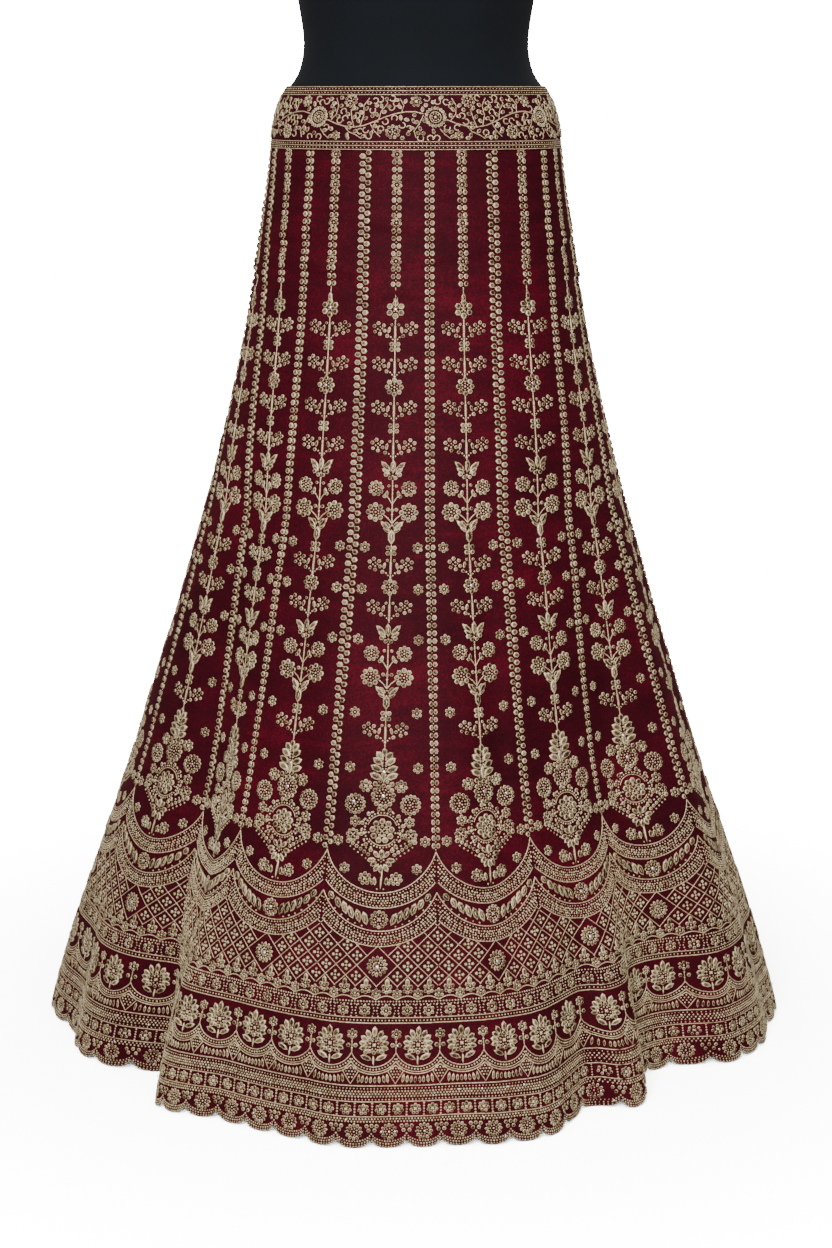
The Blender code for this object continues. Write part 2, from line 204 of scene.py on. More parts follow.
def cloth_point(u, z):
    """The outer face of the velvet, creases and all."""
    step = 1e-4
    across = plain_point(u + step, z) - plain_point(u - step, z)
    down = plain_point(u, z - step) - plain_point(u, z + step)
    return plain_point(u, z) + unit(np.cross(down, across)) * crease(u, z)[..., None]


def hem_height(u):
    place = u * SCALLOPS_A_PANEL
    across = 2.0 * (place - np.floor(place)) - 1.0
    return HEM_TIP + SCALLOP_DEPTH * (1.0 - np.sqrt(np.maximum(0.0, 1.0 - across * across)))


def linear(code):
    """Linear colour from an sRGB hex code."""
    parts = [int(code[i:i + 2], 16) / 255.0 for i in (1, 3, 5)]
    parts = [c / 12.92 if c <= 0.04045 else ((c + 0.055) / 1.055) ** 2.4 for c in parts]
    return (parts[0], parts[1], parts[2], 1.0)


def set_sockets(node, sockets):
    """Set input sockets, or link them; a node stands for its first output."""
    for name, value in sockets.items():
        if isinstance(value, bpy.types.Node):
            value = value.outputs[0]
        if isinstance(value, bpy.types.NodeSocket):
            node.id_data.links.new(value, node.inputs[name])
        else:
            node.inputs[name].default_value = value


def add_node(tree, kind, sockets={}, **settings):
    """Add one node with its settings, and set or link its sockets."""
    node = tree.nodes.new(kind)
    for name, value in settings.items():
        setattr(node, name, value)
    set_sockets(node, sockets)
    return node


def new_material(name):
    """A material, its tree and shader, and the place of each point on its piece."""
    material = bpy.data.materials.new(name)
    material.use_nodes = True
    tree = material.node_tree
    spot = add_node(tree, "ShaderNodeTexCoord").outputs["Object"]
    return material, tree, tree.nodes["Principled BSDF"], spot


def colour_and_raise(tree, shader, shade, stops, relief, strength, depth):
    """Colour a cloth or thread between three stops, and let a fine noise stand off it."""
    colours = add_node(tree, "ShaderNodeValToRGB", {"Fac": shade})
    colours.color_ramp.elements.new(0.5)
    for end, (place, code) in zip(colours.color_ramp.elements, stops):
        end.position = place
        end.color = linear(code)
    bump = add_node(tree, "ShaderNodeBump",
                    {"Height": relief, "Strength": strength, "Distance": depth})
    set_sockets(shader, {"Base Color": colours, "Normal": bump})


def silk_velvet(name, deep, body, painted_sheen):
    """Woven silk pile, mottled by noise between a painted shade colour, its own colour and a painted
    sheen colour.
    """
    material, tree, shader, spot = new_material(name)
    painted_sheen_and_shade = add_node(tree, "ShaderNodeTexNoise",
                       {"Vector": spot, "Scale": 9, "Detail": 5, "Roughness": 0.65})
    # The pile stands 1.2 mm tall; its tufts are drawn 2 mm apart so that they show.
    pile = add_node(tree, "ShaderNodeTexNoise", {"Vector": spot, "Scale": 480, "Detail": 3})
    level = add_node(tree, "ShaderNodeMapping", {"Vector": spot, "Scale": (1, 1, 5)})
    painted_crease_shading = add_node(tree, "ShaderNodeTexNoise",
                       {"Vector": level, "Scale": 17, "Detail": 4, "Distortion": 0.6})
    # Broad patches and level streaks of painted shade and sheen, placed by noise, with the fine pile
    # grain over them.
    shade = painted_sheen_and_shade
    for part, weight in ((painted_crease_shading, 0.5), (pile, 1.0)):
        shade = add_node(tree, "ShaderNodeMath", {0: part, 1: weight, 2: shade},
                         operation="MULTIPLY_ADD")
    half = add_node(tree, "ShaderNodeMath", {0: shade, 1: 0.5}, operation="MULTIPLY")
    colour_and_raise(tree, shader, half, ((0.4, deep), (0.64, body), (0.86, painted_sheen)),
                     pile, 0.25, 0.0006)
    set_sockets(shader, {"Roughness": 0.72, "Specular IOR Level": 0.1, "Sheen Weight": 0.09,
                         "Sheen Roughness": 0.4, "Sheen Tint": linear("#a0233f")})
    return material


def new_mesh(name, points, faces):
    mesh = bpy.data.meshes.new(name)
    mesh.from_pydata(np.asarray(points, dtype=float).tolist(), [], faces)
    return mesh


def in_scene(name, data):
    item = bpy.data.objects.new(name, data)
    bpy.context.scene.collection.objects.link(item)
    return item


def finish_mesh(name, points, faces, material, sharp=40.0):
    """One object at the origin from points and faces, smooth but for its real edges."""
    mesh = new_mesh(name, points, faces)
    mesh.update()
    mesh.shade_smooth()
    mesh.set_sharp_from_angle(angle=math.radians(sharp))
    mesh.materials.append(material)
    return in_scene(name, mesh)


def cloth_wall(outer, thick):
    """Points and faces of a thin closed wall behind a grid of outer points."""
    rows, columns = outer.shape[:2]
    inner = outer - unit(np.cross(np.gradient(outer, axis=0), np.gradient(outer, axis=1))) * thick
    points = np.concatenate([outer.reshape(-1, 3), inner.reshape(-1, 3)])
    back = rows * columns
    number = np.arange(back).reshape(rows, columns)
    a, b = number[:-1, :-1].ravel(), number[:-1, 1:].ravel()
    c, d = number[1:, 1:].ravel(), number[1:, :-1].ravel()
    faces = np.stack([a, d, c, b], axis=1).tolist()
    faces = faces + (np.stack([a, b, c, d], axis=1) + back).tolist()
    border = number[0].tolist() + number[1:, -1].tolist() + number[-1, -2::-1].tolist()
    border = border + number[-2:0:-1, 0].tolist()
    for here, there in zip(border, border[1:] + border[:1]):
        faces.append([here, there, there + back, here + back])
    return points, faces


# Colours: painted shade, the velvet's own colour, painted sheen.
VELVET = silk_velvet("silk velvet pile", "#230108", "#400312", "#68081f")
PANEL_COLUMNS = 24
HIP_ROWS = 36
LOWER_ROWS = 30
HIP_SHARE = 0.17
for k in range(PANELS):
    u = np.linspace(k - 3.0, k - 2.0, PANEL_COLUMNS + 1)[None, :]
    share = np.concatenate([np.linspace(0.0, HIP_SHARE, HIP_ROWS, endpoint=False),
                            np.linspace(HIP_SHARE, 1.0, LOWER_ROWS + 1)])[:, None]
    z = BAND_FOOT + (hem_height(u) - BAND_FOOT) * share
    grid = cloth_point(u + 0.0 * z, z)
    points, faces = cloth_wall(grid, VELVET_THICK)
    piece = finish_mesh("panel_cloth_%02d" % (k + 1), points, faces, VELVET)
    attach(piece, "root")
    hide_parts("kali_%02d" % (k + 1))

# The waistband.
# A shaped band of the same velvet over firm canvas, 66 mm deep, in a front and a back
# piece joined at the sides. It stands 1 mm proud of the panels and rolls in at its top.
BAND_TOP = 1.064
BAND_PROUD = 0.001
BAND_THICK = 0.0028


def band_point(angle, z):
    """The outer face of the waistband by degrees from the front and height."""
    step = 0.05
    side = ring_point(angle + step, z) - ring_point(angle - step, z)
    flat = np.stack([side[..., 1], -side[..., 0], 0.0 * side[..., 0]], axis=-1)
    return ring_point(angle, z) + unit(flat) * BAND_PROUD


# Colours: painted shade, the velvet's own colour, painted sheen.
BAND_VELVET = silk_velvet("silk velvet over canvas", "#23020b", "#390412", "#58091d")
for side, start in (("front", -90.0), ("back", 90.0)):
    angle = np.linspace(start, start + 180.0, 91)[None, :]
    z = np.linspace(BAND_TOP, BAND_FOOT, 23)[:, None]
    grid = band_point(angle + 0.0 * z, z + 0.0 * angle)
    points, faces = cloth_wall(grid, BAND_THICK)
    piece = finish_mesh("band_cloth_" + side, points, faces, BAND_VELVET)
    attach(piece, "root")
    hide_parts("waistband_" + side)

# The shapes of the thread work.
# Antique gold zari, wound and couched by hand: coiled rings with a hollow heart, beads,
# outlined petals, padded leaves and straight bars, each sewn down where it lies.


def shape_object(name, points, faces, lift):
    """A small shape of unit size with the painted light and shade of each of its points."""
    mesh = new_mesh(name, points, faces)
    bm = bmesh.new()
    bm.from_mesh(mesh)
    bmesh.ops.recalc_face_normals(bm, faces=bm.faces)
    bm.to_mesh(mesh)
    bm.free()
    mesh.shade_smooth()
    mesh.attributes.new("lift", "FLOAT", "POINT").data.foreach_set("value", lift)
    return in_scene(name, mesh)


def stacked_shape(name, outlines, heart, heart_painted_light):
    """A shape from outlines above each other, each with its height and its painted light and shade,
    and a heart.
    """
    sides = len(outlines[0][0])
    points = [(x, y, height) for outline, height, lift in outlines for x, y in outline]
    painted_lights = [lift for outline, height, lift in outlines for spot in outline]
    faces = [list(reversed(range(sides)))]
    for low in range(0, len(points), sides):
        for k in range(sides):
            n = (k + 1) % sides
            if low + sides < len(points):
                faces.append([low + k, low + n, low + sides + n, low + sides + k])
            else:
                faces.append([low + k, low + n, len(points)])
    return shape_object(name, points + [heart], faces, painted_lights + [heart_painted_light])


def circle(radius, sides):
    turns = [2.0 * math.pi * k / sides for k in range(sides)]
    return [(radius * math.cos(turn), radius * math.sin(turn)) for turn in turns]


def ribbed_shape(name, outline):
    """A small long shape from half widths along it, with a ridge down the middle."""
    points = [(-0.02, 0.0, -0.1)]
    faces = [[0, 2, 1], [0, 3, 2], [0, 1, 3]]
    for row, (place, half) in enumerate(outline):
        points = points + [(place, -half, -0.1), (place, 0.0, 1.0), (place, half, -0.1)]
        a = 1 + 3 * row
        if row < len(outline) - 1:
            faces = faces + [[a, a + 1, a + 4, a + 3], [a + 1, a + 2, a + 5, a + 4],
                             [a + 2, a, a + 3, a + 5]]
    faces = faces + [[a, a + 1, a + 3], [a + 1, a + 2, a + 3], [a + 2, a, a + 3]]
    points.append((1.0, 0.0, -0.1))
    # The ridge is painted bright and the edges dark: painted highlight and painted shade.
    return shape_object(name, points, faces, [0.3] + [0.1, 1.0, 0.1] * len(outline) + [0.3])


SHAPES = ["ring", "bead", "petal", "leaf", "bar", "spangle"]
PETAL_OUTLINE = [(0.0, 0.0), (0.3, -0.4), (0.74, -0.4), (1.0, 0.0), (0.74, 0.4), (0.3, 0.4)]
PETAL_RIM = [(0.5 + (x - 0.5) * 0.77, y * 0.77) for x, y in PETAL_OUTLINE]
# The last number of each outline and of each heart is painted light and shade: painted highlights on
# the crests and the tops of beads, painted shade in the hearts and at the feet.
shape_objects = [
    stacked_shape("ring", [(circle(0.5, 6), -0.1, 0.3), (circle(0.38, 6), 1.0, 1.0)],
                  (0.0, 0.0, 0.2), -0.9),
    stacked_shape("bead", [(circle(0.5, 5), -0.1, 0.62)], (0.0, 0.0, 1.0), 1.05),
    stacked_shape("petal", [(PETAL_OUTLINE, -0.1, 0.3), (PETAL_RIM, 1.0, 1.0)],
                  (0.5, 0.0, 0.25), -0.7),
    ribbed_shape("leaf", [(0.3, 0.34), (0.62, 0.5), (0.88, 0.3)]),
    ribbed_shape("bar", [(0.12, 0.4), (0.88, 0.4)]),
    stacked_shape("spangle", [(circle(0.5, 10), 0.1, 1.0), (circle(0.47, 10), 0.7, 1.0),
                              (circle(0.16, 10), 0.45, 1.0)], (0.0, 0.0, 0.9), 0.6),
]

# Gold thread on the panels, worked out once for one panel, in millimetres.
# Places are counted across from the panel's middle and down from the waistband.
WIDTH_ROWS = [0, 160, 320, 400, 500, 600, 700, 800, 900, 1030]
WIDTHS = [66.5, 70.5, 76.0, 80.0, 89.5, 99.5, 109.5, 120.5, 131.0, 142.0]
PANEL_LENGTH = 1030.0
work = []
laid_cords = []
spangles = []


def panel_width(s):
    return float(np.interp(s, WIDTH_ROWS, WIDTHS))


def sew(shape, x, s, turn, long, wide, tone):
    height = 0.75 + 0.11 * min(long, wide)
    work.append((SHAPES.index(shape), x, s, turn, long, wide, height, tone))


def ring(x, s, size, tone=0.5):
    sew("ring", x, s, 0, size, size, tone)


def bead(x, s, size=2.7, tone=0.55):
    sew("bead", x, s, 0, size, size, tone)


def petal(x, s, tip_x, tip_s, wide, tone=0.5):
    """An outlined petal from its root to its tip."""
    turn = math.degrees(math.atan2(tip_s - s, tip_x - x))
    sew("petal", x, s, turn, math.hypot(tip_x - x, tip_s - s), wide, tone)


def cord(points, thick):
    laid_cords.append((points, thick))


def stem(x, start, end, thick):
    cord([(x, start), (x, end)], thick)


def polar(x, s, radius, turn):
    return x + radius * math.cos(math.radians(turn)), s + radius * math.sin(math.radians(turn))


def ray(x, s, near, far, turn, wide, tone=0.5):
    """A petal that points away from a middle, from one distance to another."""
    petal(*polar(x, s, near, turn), *polar(x, s, far, turn), wide, tone)


def plume(x, s, leaves):
    """Petals in pairs: how far down, turn from straight up, start, end and width of each."""
    for down, turn, near, far, wide in leaves:
        for side in ((1,) if turn == 0 else (-1, 1)):
            ray(x, s + down, near, far, side * turn - 90, wide)


def both_sides(x, s, parts):
    """Sew parts at both sides of a middle line: stitch, places outwards and down, sizes."""
    for side in (-1, 1):
        for stitch, out, down, *rest in parts:
            if stitch is petal:
                rest = [x + side * rest[0], s + rest[1], rest[2]]
            stitch(x + side * out, s + down, *rest)


def beads_round(x, s, radius, size=2.7):
    """Beads sewn in rings inside each other until a disc is full."""
    reach = radius
    while reach > 1.2:
        count = max(4, int(2 * math.pi * reach / (size + 0.35)))
        for k in range(count):
            bead(*polar(x, s, reach, 360 * (k + 0.5) / count), size)
        reach = reach - size - 0.2
    bead(x, s, size + 0.4, 0.9)


def flower(x, s, size, petals):
    """A round flower: coiled rings for petals, edge to edge, about a heart full of beads."""
    sine = math.sin(math.pi / petals)
    across = size * sine / (1 + sine)
    for k in range(petals):
        ring(*polar(x, s, 0.5 * (size - across), 360 * k / petals - 90), across * 1.12)
    beads_round(x, s, 0.5 * size - across - 1.2)


def daisy(x, s, size, petals):
    """A flower of outlined petals about a heart full of beads."""
    for k in range(petals):
        ray(x, s, 0.22 * size, 0.5 * size, 360 * k / petals - 90, 0.78 * math.pi * size / petals)
    beads_round(x, s, 0.22 * size - 0.9, 2.4)


def along(path, pitch):
    """Places at an even pitch along a path, with the way it heads at each."""
    points = np.array(path, dtype=float)
    steps = np.linalg.norm(np.diff(points, axis=0), axis=1)
    reach = np.concatenate([[0.0], np.cumsum(steps)])
    count = max(1, int(round(reach[-1] / pitch)))
    places = (np.arange(count) + 0.5) * reach[-1] / count
    xs, ys = (np.interp(places, reach, points[:, n]) for n in (0, 1))
    i = np.clip(np.searchsorted(reach, places) - 1, 0, len(steps) - 1)
    way = points[i + 1] - points[i]
    return list(zip(xs.tolist(), ys.tolist(), np.degrees(np.arctan2(way[:, 1], way[:, 0])).tolist()))


# The seam chains.
# Pairs of coiled rings run down every seam from the waistband to the scalloped bands;
# on every other seam the two rings are set half a step apart, which reads as wider.
CHAIN_END = 719.0
CHAIN_PITCH = 8.05
CHAIN_NARROWS = 565.0
NARROW_SHARE = 0.84
# How far a ring stands from the seam, how far it slips along it, its width and height.
EVEN_CHAIN = (2.85, 0.0, 6.0, 6.8)
STAGGERED_CHAIN = (3.3, 2.0125, 7.8, 6.6)


def seam_chain(away, slip, wide, tall):
    for k in range(int(CHAIN_END / CHAIN_PITCH) + 1):
        s = 4 + k * CHAIN_PITCH
        edge = 0.5 * panel_width(s)
        full = 1 if s < CHAIN_NARROWS else NARROW_SHARE
        for side in (-1, 1):
            sew("ring", edge + side * away * full, s - side * slip, 0, wide * full, tall, 0.55)
        bead(edge, s + 0.5 * CHAIN_PITCH, 2.2)


# The flower column down the middle of each panel.
# A stem carries a chain of paired rings, then flowers, sprigs, tulips and a pair of
# bouquets, and ends in a wreath above the scalloped bands.


def small_flower(s):
    for side in (-1, 1):
        ring(side * 3.3, s - 2.8, 5.8)
        ring(side * 3.3, s + 2.8, 5.8)
        bead(0, s + side * 4.6, 2.8)
    bead(0, s, 3.4, 0.8)
    stem(0, s - 10, s + 10, 1.6)


def sprig_pair(s):
    """A fan of rings on a beaded arm at each side of the stem, under a small crossbar."""
    stem(0, s - 12, s + 15, 1.6)
    stem(0, s - 3.6, s + 8.8, 2.9)
    bead(0, s + 12.4, 4.2)
    both_sides(0, s, [
        (ring, 3.6, -4.8, 3.6), (ring, 17.6, -6.2, 5), (ring, 21.9, -3.2, 4.9),
        (ring, 21.3, 2.8, 4.4), (ring, 16, 4.9, 4.8), (ring, 12, -4, 4.7), (ring, 11, 1.6, 4.5),
        (bead, 15.8, -2.3), (bead, 18.5, -0.3), (bead, 16, 1.3), (bead, 13.7, -0.7),
        (petal, 7.4, 5, 5.6, -3.4, 4.2), (ring, 8.4, 7, 4.9), (bead, 4.6, 8.2, 3),
        (bead, 2.5, 10.6, 2.8)])


def tulip(s):
    """Two winged petals and an upright one over a row of rings."""
    both_sides(0, s, [
        (petal, 1.6, 3.5, 13.8, -8, 6.8), (petal, 2, 6, 11.4, -1.4, 5.4), (ring, 7, 5.8, 6),
        (ring, 2.8, 9.2, 5.2), (bead, 3.6, 4.8, 3)])
    petal(0, s + 6, 0, s - 10.6, 7.4)
    bead(0, s + 7, 3.2)
    bead(0, s + 12.2, 2.8)
    sew("leaf", 0, s + 3, -90, 9, 3, 0.8)


def bouquet(s):
    """Two tiers of paired flowers that rise from a winged cup with a drop under it."""
    stem(0, s - 8, s + 36, 1.7)
    bead(0, s - 3, 3)
    both_sides(0, s, [
        (flower, 17, 0, 17, 9), (flower, 17.4, 24.5, 20.6, 8), (ring, 3.9, -2.8, 3.8),
        (petal, 6.6, 9.8, 5.6, 1.2, 4.4), (ring, 8.2, 8, 4.6), (ring, 4.3, 21.6, 4.6),
        (petal, 1, 45, 12.2, 32.2, 6.2), (petal, 0.8, 41.5, 7.4, 33.6, 4.8),
        (petal, 1.2, 46.5, 9.6, 40, 3.6)])
    for side in (-1, 1):
        cord([(side * 8, s + 5), (side * 3.6, s + 10.5), (0, s + 16)], 1.4)
        cord([(side * 9, s + 27), (side * 4.5, s + 30.5), (0, s + 36)], 1.5)
    ring(0, s + 22.2, 4.4)
    bead(0, s + 26.6, 3.4)
    bead(0, s + 38, 3)
    petal(0, s + 59, 0, s + 41, 9.6)
    sew("leaf", 0, s + 56, -90, 12, 3.2, 0.8)
    small_flower(s + 64)


def palmette(s):
    """A plume of outlined leaves in pairs, opening wider towards its foot."""
    plume(0, s, [(9, 0, 0.6, 11, 7.4), (11.5, 44, 0.6, 12.8, 8.6), (17.2, 57, 0.6, 15.2, 8.8),
                 (23.8, 66, 0.6, 16.6, 9), (31.2, 68, 0.6, 17, 9)])
    for k in range(6):
        for side in (-1, 1):
            bead(side * 1.7, s + 11 + 3.1 * k, 3)
    petal(0, s + 36, 0, s + 20, 5.4, 0.8)
    stem(0, s - 4.5, s + 1, 1.6)
    spangles.append((0, s + 23.6, 4.6))


def trio(s):
    """One great flower between two smaller ones, with two round ones below."""
    flower(0, s + 0.6, 26, 13)
    spangles.append((0, s + 0.6, 5))
    both_sides(0, s, [
        (ring, 8.6, -11.8, 6), (ring, 3.6, -14.2, 4.6), (flower, 18.2, -9.4, 14, 7),
        (flower, 28.4, 9.4, 22, 14), (flower, 27.8, 27, 12, 6), (flower, 29.6, 41, 14.4, 9)])


def wreath(s):
    """A full lobed flower in a beaded ring, with small sprigs outside the ring."""
    flower(0, s + 0.8, 26.4, 9)
    for k in range(7):
        ring(*polar(0, s + 0.8, 5, 51.43 * k - 90), 3.9, 0.7)
    cord([polar(0, s, 15.6, 200 + 10 * k) for k in range(15)], 1.2)
    cord([polar(0, s, 15.8, 35 + 11 * k) for k in range(11)], 1.4)
    for k in range(34):
        bead(*polar(0, s, 17.9, 360 * k / 34), 3)
    for turn in (-75, -45, -15, 15, 45, 135, 165, 195, 225, 255):
        petal(*polar(0, s, 19.2, turn), *polar(0, s, 24.4, turn + 6), 5.2)
        bead(*polar(0, s, 20.8, turn - 13), 3.4, 0.6)
        bead(*polar(0, s, 21.2, turn + 13), 3.4, 0.6)
    for side in (-1, 1):
        for k in range(3):
            bead(side * (13.6 + 2.6 * k), s + 2.6, 2.9, 0.7)
            bead(side * (18.6 + 2.8 * k), s + 4, 3, 0.7)
        ring(side * 11, s + 20.4, 5.4)


def fan_base(s):
    """A half flower with bead-laden arms that curve up at both sides, on its stalk."""
    petal(0, s + 1, 0, s - 11.5, 7.4)
    for k, reach in enumerate((15.4, 13.6, 15.4, 15.4, 15.4, 13.6, 15.4)):
        ray(0, s, 4.6, reach, 4 + 172 * k / 6, 6.6)
    beads_round(0, s - 0.5, 3)
    for side in (-1, 1):
        petal(side * 2.6, s - 1, side * 8.6, s - 8.6, 6)
        for k in range(5):
            x = side * (13.4 + 4 * k)
            ring(x, s - 4.6 - 2.7 * k, 4.7)
            bead(x + side * 2.4, s - 0.6 - 2.9 * k, 3)
            bead(x - side * 1.6, s - 9 - 2.4 * k, 3.2)
        ring(side * 34, s - 17.6, 6, 0.8)
    sew("leaf", 0, s + 34, -90, 24, 4.2, 0.7)
    both_sides(0, s, [(flower, 15.8, 20, 14.6, 7), (petal, 5.6, 27.6, 6.4, 17.4, 5),
                      (ring, 8.6, 24.6, 4.4), (bead, 3.4, 30.6, 3)])


def flower_column():
    for k in range(18):
        s = 4 + CHAIN_PITCH * k
        if k % 5 == 4 or k == 0:
            flower(0, s, 12, 7)
            continue
        for side in (-1, 1):
            sew("ring", side * 2.8, s, 0, 5.8, 6.6, 0.5)
        bead(0, s + 0.5 * CHAIN_PITCH, 2.2)
    stem(0, 144, 166, 1.4)
    petal(0, 161, 0, 150, 6)
    flower(0, 167.4, 20.5, 6)
    for s in (188, 225, 270.5, 309.8, 433, 477, 602.5):
        sprig_pair(s)
    small_flower(206.4)
    flower(0, 248.4, 20, 8)
    small_flower(291.5)
    tulip(333.6)
    bouquet(354)
    flower(0, 455.7, 18, 8)
    tulip(502.3)
    bouquet(524)
    palmette(621.5)
    trio(669)
    wreath(704.5)
    fan_base(734)


# The scattered sprigs.
# Little six-petalled flowers float between the columns and beside the ends of the chains.
SCATTER = [(415, 27.5), (458, 29.5), (510, 31.5), (585, 32), (641, 35), (716, 44.6), (744, 37)]


def scattered_flowers():
    for s, reach in SCATTER:
        both_sides(0, s, [(flower, reach, 0, 11.6, 6)])


# The two scalloped bands.
# Each panel has one deep scallop of beaded bands above another, pointed at the seams,
# with a garland of leaves on bare velvet between them.
BAND_WIDE = 16.0
# Of each arc: how far down its cusps are, how far it sags, and half its width.
UPPER_ARC = (724.5, 43.5, 0.5 * panel_width(728.5))
LOWER_ARC = (766.5, 40.5, 0.5 * panel_width(770.5))


def arc_circle(arc, drop):
    """Centre and radius of the circle that an arc lies on, moved outwards by a drop."""
    cusp, sag, half = arc
    radius = (half * half + sag * sag) / (2 * sag)
    return cusp + sag - radius, radius + drop


def scallop(arc, drop, steps=24):
    """Points of an arc between two cusps, moved outwards by a drop."""
    centre, radius = arc_circle(arc, drop)
    reach = math.asin(min(1, arc[2] / radius))
    turns = [-reach + 2 * reach * k / steps for k in range(steps + 1)]
    return [(radius * math.sin(turn), centre + radius * math.cos(turn)) for turn in turns]


def arc_depth(arc, drop, x):
    centre, radius = arc_circle(arc, drop)
    return centre + math.sqrt(max(0, radius ** 2 - x * x))


# Columns: how far below the upper cord a row of seed beads runs, bead size, pitch.
BAND_BEADS = [(2.9, 2.3, 3.5), (6.0, 3.0, 3.1), (8.6, 3.0, 3.0), (11.0, 2.8, 3.1),
              (13.6, 2.3, 3.3)]


def beaded_band(arc):
    """Rows of seed beads, uneven in size and never quite in line, between two cords."""
    cord(scallop(arc, 0.5), 1.6)
    for row, (drop, size, pitch) in enumerate(BAND_BEADS):
        for x, s, turn in along(scallop(arc, drop), pitch):
            uneven = math.sin(3.7 * x + 5.1 * row)
            bead(x + 0.4 * uneven, s + 0.35 * math.sin(5.3 * x), size * (1 + 0.16 * uneven))
    for x, s, turn in along(scallop(arc, 14.4), 3.6):
        sew("bar", x, s, turn + 90, 2.4, 1.4, 0.6)
    cord(scallop(arc, BAND_WIDE), 1.4)


def garland():
    flower(0, 795.5, 19.5, 12)
    spangles.append((0, 795.5, 4.8))
    for side in (-1, 1):
        for k in range(6):
            x = 12.8 + 7 * k
            foot = arc_depth(LOWER_ARC, 0, x + 4) - 1.4
            head = max(arc_depth(UPPER_ARC, BAND_WIDE, x) + 1.2, foot - 16.5)
            petal(side * (x - 0.8), foot - 0.6, side * (x + 4.2), head, 8.4, 0.2)
            lean = math.degrees(math.atan2(head - foot, side * 5))
            sew("leaf", side * x, foot - 2.4, lean, 0.72 * (foot - head), 3.4, 0.45)
            bead(side * (x + 4.4), foot - 1, 2.8)


# The lattice.
# Laid cords cross at forty-five degrees under the lower band, a four-petalled flower
# in each cell and one great flower in a double cell in the middle of each panel.
CELL = 20.5
CELLS_A_PANEL = 6
LATTICE_MIDDLE = 843.0
LATTICE_FOOT = 864.0
LATTICE_STEP = 1.2


def lattice_top(x):
    return arc_depth(LOWER_ARC, BAND_WIDE, min(abs(x), LOWER_ARC[2]))


def in_great_cell(cells, s):
    return abs(cells) + abs(s - LATTICE_MIDDLE) / CELL < 0.98


def lattice_run(start, lean):
    """One laid cord of the lattice, cut where it meets the band and the great cell."""
    run = []
    for k in range(62):
        s = LATTICE_FOOT - LATTICE_STEP * k
        cells = start + lean * (s - LATTICE_MIDDLE) / CELL
        x = cells * panel_width(s) / CELLS_A_PANEL
        inside = abs(cells) <= 0.5 * CELLS_A_PANEL + 0.001 and s > lattice_top(x) - 0.5
        if k < 61 and inside and not in_great_cell(cells, s):
            run.append((x, s))
            continue
        if len(run) > 2:
            cord([run[0], run[-1]], 1.15)
        run = []


def lattice():
    for start in range(-12, 13):
        for lean in (-1, 1):
            lattice_run(start, lean)
    for row in range(-8, 2):
        s = LATTICE_MIDDLE + 0.5 * CELL * row
        for j in range(-3, 4):
            cells = j + (0 if row % 2 else 0.5)
            x = cells * panel_width(s) / CELLS_A_PANEL
            beyond = abs(cells) > 0.5 * CELLS_A_PANEL or j == 3
            if beyond or s < lattice_top(x) + 4 or in_great_cell(cells, s):
                continue
            bead(x, s, 3, 0.9)
            for k in range(4):
                bead(*polar(x, s, 3.5, 90 * k), 4.9)
    daisy(0, LATTICE_MIDDLE, 23, 14)
    beads_round(0, LATTICE_MIDDLE, 6.6, 2.6)
    spangles.append((0, LATTICE_MIDDLE + 1, 5))


# The bud row and the flower row under the lattice.
# Buds stand at two heights over a wavy cord, then round flowers between posts of beads,
# shut in by laid cords and rows of beads.


def across_row(s, count, slip=0):
    """Even places across one panel, so that rows meet their neighbours at the seams."""
    return [((k + 0.5 + slip) / count - 0.5) * panel_width(s) for k in range(count)]


def level_cord(s, thick):
    cord([(panel_width(s) * (k / 12 - 0.5), s) for k in range(13)], thick)


def bead_row(s, size, pitch=3, slip=0):
    for x in across_row(s, int(round(panel_width(s) / pitch)), slip):
        bead(x, s, size)


def bud_row():
    width = panel_width(870)
    for j in range(-6, 6):
        x = width * j / 12
        if j % 2:
            petal(x, 865, x, 854.5, 6.2)
            for dx, s, size in ((-3.4, 863.6, 5), (3.4, 863.6, 5), (-3.2, 868.2, 4.6),
                                (3.2, 868.2, 4.6), (0, 869.4, 4.4)):
                ring(x + dx, s, size)
            bead(x, 865.6, 3, 0.8)
        else:
            flower(x, 870.5, 10.6, 6)
    for j in range(6):
        cord([(width * ((j + k / 6) / 6 - 0.5), 877 - 3.8 * math.sin(math.pi * k / 6))
              for k in range(7)], 1.5)
    bead_row(878.8, 2.8)


def flower_row():
    for x in across_row(888, 6):
        flower(x, 888, 12.4, 6)
        post = x + panel_width(888) / 12
        for k in range(5):
            for side in (-1, 1):
                bead(post + side * (1.4 + 0.7 * abs(k - 2)), 882.4 + 2.9 * k, 2.4)
    bead_row(881.6, 2.4, 3.5)
    level_cord(895.4, 1.3)
    bead_row(898.2, 2.5, 3.5)
    level_cord(901, 1.6)


# The lotus border.
# On bare velvet three lotuses stand in each panel over small beaded scallops, with a
# sprig between them, then outlined fans and pointed drops under the scallops.
LOTUSES = 3
SMALL_ARC = (931.5, 14.5, 0.5 * panel_width(938) / LOTUSES)


def lotus(x, s):
    plume(x, s, [(0, 0, 7.4, 20, 7.2), (0, 28, 7, 18.4, 7), (0, 54, 6.8, 17, 6.8),
                 (0, 79, 6.6, 16.2, 6.6), (0, 104, 6.4, 16, 6.4), (0, 129, 6, 14.4, 6)])
    for k in range(10):
        ring(*polar(x, s, 7.6, 36 * k - 90), 5.2)
    beads_round(x, s, 4.4, 2.9)
    both_sides(x, s, [(petal, 0.8, 15.6, 14.4, 9, 6.8)])
    sew("leaf", x, s + 22.5, -90, 12, 3.6, 0.7)


def between_lotuses(x):
    flower(x, 912.2, 11.2, 6)
    both_sides(x, 923.6, [(ring, 3.5, 0, 5.4)])
    bead(x, 920.2, 3)
    bead(x, 926.6, 3.2)
    stem(x, 917, 931.5, 1.3)


